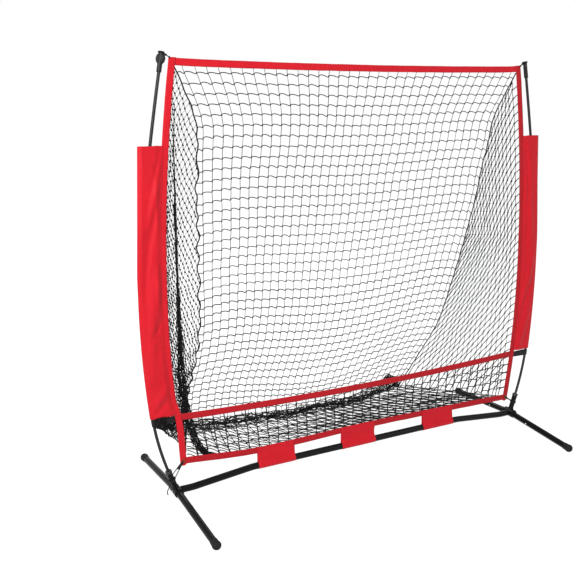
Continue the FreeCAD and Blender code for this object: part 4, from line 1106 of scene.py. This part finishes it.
def sleeve_outer(height):
    """Distance from the middle to a sleeve's outer edge."""
    fitted = pole_x(height) + SLEEVE_ROOM
    if height < WIDEST_POLE:
        return fitted
    drawn = SLEEVE_SHOULDER + SLEEVE_TAPER * (up_frame(SLEEVE_HIGH) - height)
    return max(fitted, min(drawn, pole_x(WIDEST_POLE) + SLEEVE_ROOM))


def sleeve(side, name):
    """A cloth sleeve: one length of cloth from the tape round the pole and back, with soft folds."""
    sizes = bpy.context.scene.bow_net
    low, high = up_frame(SLEEVE_LOW[side]), up_frame(SLEEVE_HIGH)
    stations, across = 150, 26
    rows, hem_lines = [], ([], [])
    for i in range(stations + 1):
        v = i / stations
        height = low + (high - low) * v
        inner = tape_inner(height) + TAPE - SLEEVE_LAP - nudge(side, height)
        outer, pole = sleeve_outer(height), pole_x(height)
        hem = 0.0007 if min(v, 1 - v) * (high - low) < 0.014 else 0.0
        layers = []
        for face in (-1, 1):
            layer = []
            for j in range(across + 1):
                u = 0.5 - 0.5 * cos(pi * (j / across) * 0.96)
                u = u / (0.5 - 0.5 * cos(pi * 0.96))
                x = inner + (outer - 0.0012 - inner) * u
                bump = exp(-(((x - pole) / 0.017) ** 2))
                loose = min(1.0, u * 5) * min(1.0, (1 - u) * 8)
                folds = creased(u, v, (0.1, high - low), SLEEVE_CREASES[side * (1 if face < 0 else -1)])
                folds += 0.0022 * wobble(u * 2.2 + face, v * 9, side * 9.0)
                folds += 0.0009 * wobble(u * 6, v * 31, face * 4.0)
                depth = 0.0022 + 0.0058 * loose + folds * loose * (1 - 0.6 * bump)
                depth = max(depth, 0.0012 + 0.0055 * bump, 0.0050 * bump + 0.0024 * loose) + hem
                layer.append(on_frame(side * x, height + 0.0015 * wobble(u * 4, side * 3.3, v * 2), face * depth))
            layers.append(layer)
        edge = on_frame(side * outer, height, 0.0)
        rows.append(layers[0] + [edge] + layers[1][::-1])
        for face, line in zip((0, 1), hem_lines):
            line.append(layers[face][2] + BACK * (1 if face else -1) * 0.0005)
    piece = cloth(f"sleeve_{name}_cloth", rows, sizes.cloth)
    finished(piece, "polyester", "sleeve_" + name)
    seams = list(hem_lines)
    for i in (3, stations - 3):
        seams.append([Vector(p) - BACK * 0.0006 for p in rows[i][1 : across + 1]])
        seams.append([Vector(p) + BACK * 0.0006 for p in rows[i][across + 2 : -1]])
    sewn = stitches(f"sleeve_{name}_stitches", seams)


def tab(name, centre, seed, snug):
    """A cloth loop from behind the bottom tape, under the crossbar and up over the tape's front.

    snug is how closely its front lies on the bar."""
    sizes = bpy.context.scene.bow_net
    bar = Vector((0, HUB_Y, CROSSBAR_HEIGHT))
    radius = TUBE_RADIUS + 0.0008
    rows = []
    columns = 36
    for j in range(columns + 1):
        x = centre - TAB_HALF + 2 * TAB_HALF * j / columns
        edge = bottom_edge(x)
        front = on_frame(x, edge + TAPE - 0.0005, -0.0024)
        back = on_frame(x, edge + TAPE * 0.7, 0.0026)
        front_low, back_low = on_frame(x, edge, -0.0026), on_frame(x, edge, 0.0028)
        crease = 0.0012 * wobble(x / 0.02, seed) + 0.0014 * wobble(x / 0.05, seed, 2.0)
        points = [back, back.lerp(back_low, 0.5), back_low]
        for k in range(15):
            angle = radians(68 - k * (316 / 14))
            points.append(Vector((x, bar.y + radius * cos(angle), bar.z + radius * sin(angle))))
        tucked = points[-1].lerp(front_low, 0.45) + BACK * (0.004 * snug)
        points += [tucked, front_low, front.lerp(front_low, 0.66), front.lerp(front_low, 0.33), front]
        line = through(points, 40)
        for k in range(len(line)):
            share = k / (len(line) - 1)
            swell = arch(clamp((share - 0.62) / 0.3))
            line[k][1] -= max(crease + 0.0006, 0.0) * swell * (1 - 0.6 * snug)
            line[k][0] += 0.0009 * wobble(share * 5, seed, 1.0 if j == 0 else 4.0) * (1 if j in (0, columns) else 0)
        rows.append(line)
    piece = cloth(name + "_cloth", rows, sizes.cloth * 1.15)
    finished(piece, "polyester", name)
    grid = np.array(rows)
    lift = np.array([0, -0.0007, 0])
    seams = [grid[:, -2] + lift, grid[1, 27:-1] + lift, grid[-2, 27:-1] + lift]
    sewn = stitches(name + "_stitches", seams)


def strap(side, name):
    """Webbing from the side tape's outer edge round the pole and back to the tape's rear."""
    radius = POLE_RADIUS + 0.0011
    rows = []
    for j in range(9):
        height = up_frame(STRAP_HEIGHT) - STRAP_WIDTH / 2 + STRAP_WIDTH * j / 8
        tape, pole = tape_inner(height) + TAPE - nudge(side, height), pole_x(height)
        plan = [(tape - 0.014, 0.0030), (tape - 0.004, 0.0030), (tape + 0.012, 0.0034)]
        plan += [(pole + radius * cos(radians(a)), radius * sin(radians(a)))
                 for a in range(100, -101, -20)]
        plan += [(tape + 0.014, -0.0030), (tape + 0.005, -0.0012), (tape + 0.0004, 0.0)]
        line = through([on_frame(side * x, height, depth) for x, depth in plan], 56)
        rows.append(line)
    piece = cloth(f"pole_strap_{name}_webbing", rows, STRAP_THICKNESS)
    finished(piece, "webbing", "pole_strap_" + name)


class NETBOW_OT_cloth(bpy.types.Operator):
    """Sleeves over the poles, loops round the crossbar and straps round the poles"""

    bl_idname = "bow_net.cloth"
    bl_label = "Sleeves, loops and straps"

    def execute(self, context):
        for name, side in SIDES:
            sleeve(side, name)
            strap(side, name)
        for i, (name, centre, snug) in enumerate(TABS):
            tab(name, centre, 1.7 + i * 5.3, snug)
        return {"FINISHED"}


# Frame


class NETBOW_OT_frame(bpy.types.Operator):
    """Finishes of the frame's own parts, and the welds on the hubs"""

    bl_idname = "bow_net.frame"
    bl_label = "Frame"

    def execute(self, context):
        kinds = {"hub_rivets": "zinc", "hub": "coat", "crossbar_coupler": "zinc", "crossbar": "coat", "leg": "coat",
                 "foot": "rubber", "button": "zinc", "socket": "nylon", "pole_ferrule": "drawn", "pole": "fibre",
                 "tip": "cap", "corner": "brass"}
        for name, node in frame["nodes"].items():
            if node.hide_render:
                continue
            kind = next(kind for start, kind in kinds.items() if name.startswith(start))
            for slot in node.material_slots:
                slot.material = FINISHES[kind]
        beads = []
        slope = atan((HUB_HEIGHT - FOOT_HEIGHT) / FOOT_OUT)
        for name, side in SIDES:
            hub = Vector((side * HUB_X, HUB_Y, HUB_HEIGHT))
            places = [(hub, (up_socket(side, 0.1) - hub).normalized(), 0.0178, 0.0112, 0.0017)]
            for toward in (-1, 1):
                way = Vector((0, toward * cos(slope), -sin(slope)))
                places.append((hub, way, 0.0262, 0.0134, 0.0016))
            for centre, way, off, radius, bead in places:
                beads.append(weld_bead(centre + way * off, way, radius, bead))
        finished(joined("hub_welds", beads), "weld")
        return {"FINISHED"}


def weld_bead(centre, way, radius, bead):
    """A rippled weld round a tube."""
    bpy.ops.object.select_all(action="DESELECT")
    bpy.ops.mesh.primitive_torus_add(major_segments=96, minor_segments=8, major_radius=radius, minor_radius=bead)
    piece = bpy.context.object
    turn = way.to_track_quat("Z", "X")
    for vertex in piece.data.vertices:
        x, y, z = vertex.co
        angle = atan2(y, x)
        swell = 1 + 0.22 * sin(angle * 24 + 1.5 * sin(angle * 3))
        flat = Vector((cos(angle), sin(angle), 0)) * radius
        vertex.co = centre + turn @ (flat + (Vector((x, y, z)) - flat) * swell)
    bpy.ops.object.shade_smooth()
    return piece


# Stage


def lamp(name, place, aim, size, power):
    """A soft square lamp."""
    light = bpy.data.lights.new(name, "AREA")
    light.size = size
    light.energy = power
    piece = bpy.data.objects.new(name, light)
    piece.location = place
    piece.rotation_euler = (Vector(aim) - Vector(place)).to_track_quat("-Z", "Y").to_euler()
    bpy.context.scene.collection.objects.link(piece)


def seen_white(tree):
    """1 where the camera, a reflection or a transmitted ray looks straight at this."""
    ray = add(tree, "LightPath").outputs
    straight = add(tree, "Math", {0: ray["Is Camera Ray"], 1: ray["Is Glossy Ray"]}, operation="MAXIMUM")
    through_glass = {0: straight.outputs[0], 1: ray["Is Transmission Ray"]}
    return add(tree, "Math", through_glass, operation="MAXIMUM").outputs[0]


class NETBOW_OT_stage(bpy.types.Operator):
    """Pale floor, soft light and the camera"""

    bl_idname = "bow_net.stage"
    bl_label = "Stage"

    def execute(self, context):
        sizes = context.scene.bow_stage
        camera = bpy.data.objects.new("camera", bpy.data.cameras.new("camera"))
        camera.data.lens = sizes.lens
        camera.data.sensor_width = 36
        camera.data.sensor_fit = "HORIZONTAL"
        camera.data.clip_end = 400
        eye, target = Vector(sizes.eye), Vector(sizes.target)
        camera.location = eye
        camera.rotation_mode = "QUATERNION"
        look = (target - eye).to_track_quat("-Z", "Y")
        camera.rotation_quaternion = look @ Quaternion((0, 0, 1), sizes.roll)
        context.scene.collection.objects.link(camera)
        context.scene.camera = camera

        bpy.ops.object.select_all(action="DESELECT")
        bpy.ops.mesh.primitive_plane_add(size=300, location=(0, 0, 0))
        floor = context.object
        floor.name = "floor"
        # Matt paint; what the camera sees of it is mostly glow, so it is white and still keeps the net's shadow
        material, tree = blank("pale studio floor")
        matt = add(tree, "BsdfDiffuse", {"Color": linear("f4f4f4")})
        glow = add(tree, "Emission", {"Color": (1, 1, 1, 1), "Strength": 1.29})
        share = add(tree, "Math", {0: seen_white(tree), 1: 0.7}, operation="MULTIPLY").outputs[0]
        mix = add(tree, "MixShader", {0: share, 1: matt.outputs[0], 2: glow.outputs[0]})
        add(tree, "OutputMaterial", {"Surface": mix.outputs[0]})
        floor.data.materials.append(material)

        # A dim even light on the net, and white where it is looked at
        world = bpy.data.worlds.new("studio")
        context.scene.world = world
        world.use_nodes = True
        tree = world.node_tree
        tree.nodes.clear()
        even = add(tree, "Background", {"Color": (1, 1, 1, 1), "Strength": 0.38})
        white = add(tree, "Background", {"Color": (1, 1, 1, 1), "Strength": 1.0})
        mix = add(tree, "MixShader", {0: seen_white(tree), 1: even.outputs[0], 2: white.outputs[0]})
        add(tree, "OutputWorld", {"Surface": mix.outputs[0]})
        lamp("key light", (-3.2, -2.8, 3.2), (0, 0, 0.8), 1.6, 250)
        lamp("fill light", (2.8, -3.0, 2.2), (0, 0, 0.6), 2.6, 25)
        lamp("back light", (0.4, 3.4, 3.2), (0, 0, 0.8), 2.4, 45)
        context.scene.view_settings.view_transform = "Standard"
        return {"FINISHED"}


class NETBOW_PT_panel(bpy.types.Panel):
    """The pieces of the net, in the order they are made"""

    bl_label = "Bow Net"
    bl_idname = "NETBOW_PT_panel"
    bl_space_type = "VIEW_3D"
    bl_region_type = "UI"
    bl_category = "Bow Net"

    def draw(self, context):
        for group in (context.scene.bow_net, context.scene.bow_stage):
            for name in group.__annotations__:
                self.layout.prop(group, name)
        for piece in PIECES:
            self.layout.operator(piece.bl_idname)


PIECES = (NETBOW_OT_stage, NETBOW_OT_cords, NETBOW_OT_back, NETBOW_OT_sides, NETBOW_OT_low, NETBOW_OT_gathers,
          NETBOW_OT_tapes, NETBOW_OT_cloth, NETBOW_OT_frame)
CLASSES = (NetSizes, StageSizes) + PIECES + (NETBOW_PT_panel,)


def register():
    for kind in CLASSES:
        bpy.utils.register_class(kind)
    bpy.types.Scene.bow_net = bpy.props.PointerProperty(type=NetSizes)
    bpy.types.Scene.bow_stage = bpy.props.PointerProperty(type=StageSizes)


def unregister():
    del bpy.types.Scene.bow_stage
    del bpy.types.Scene.bow_net
    for kind in reversed(CLASSES):
        bpy.utils.unregister_class(kind)


def main():
    """Make every piece in order."""
    register()
    make_finishes(bpy.context.scene.bow_net)
    for piece in PIECES:
        group, name = piece.bl_idname.split(".")
        if getattr(getattr(bpy.ops, group), name)() != {"FINISHED"}:
            raise RuntimeError(piece.bl_label + " was not made")


if __name__ == "__main__":
    main()
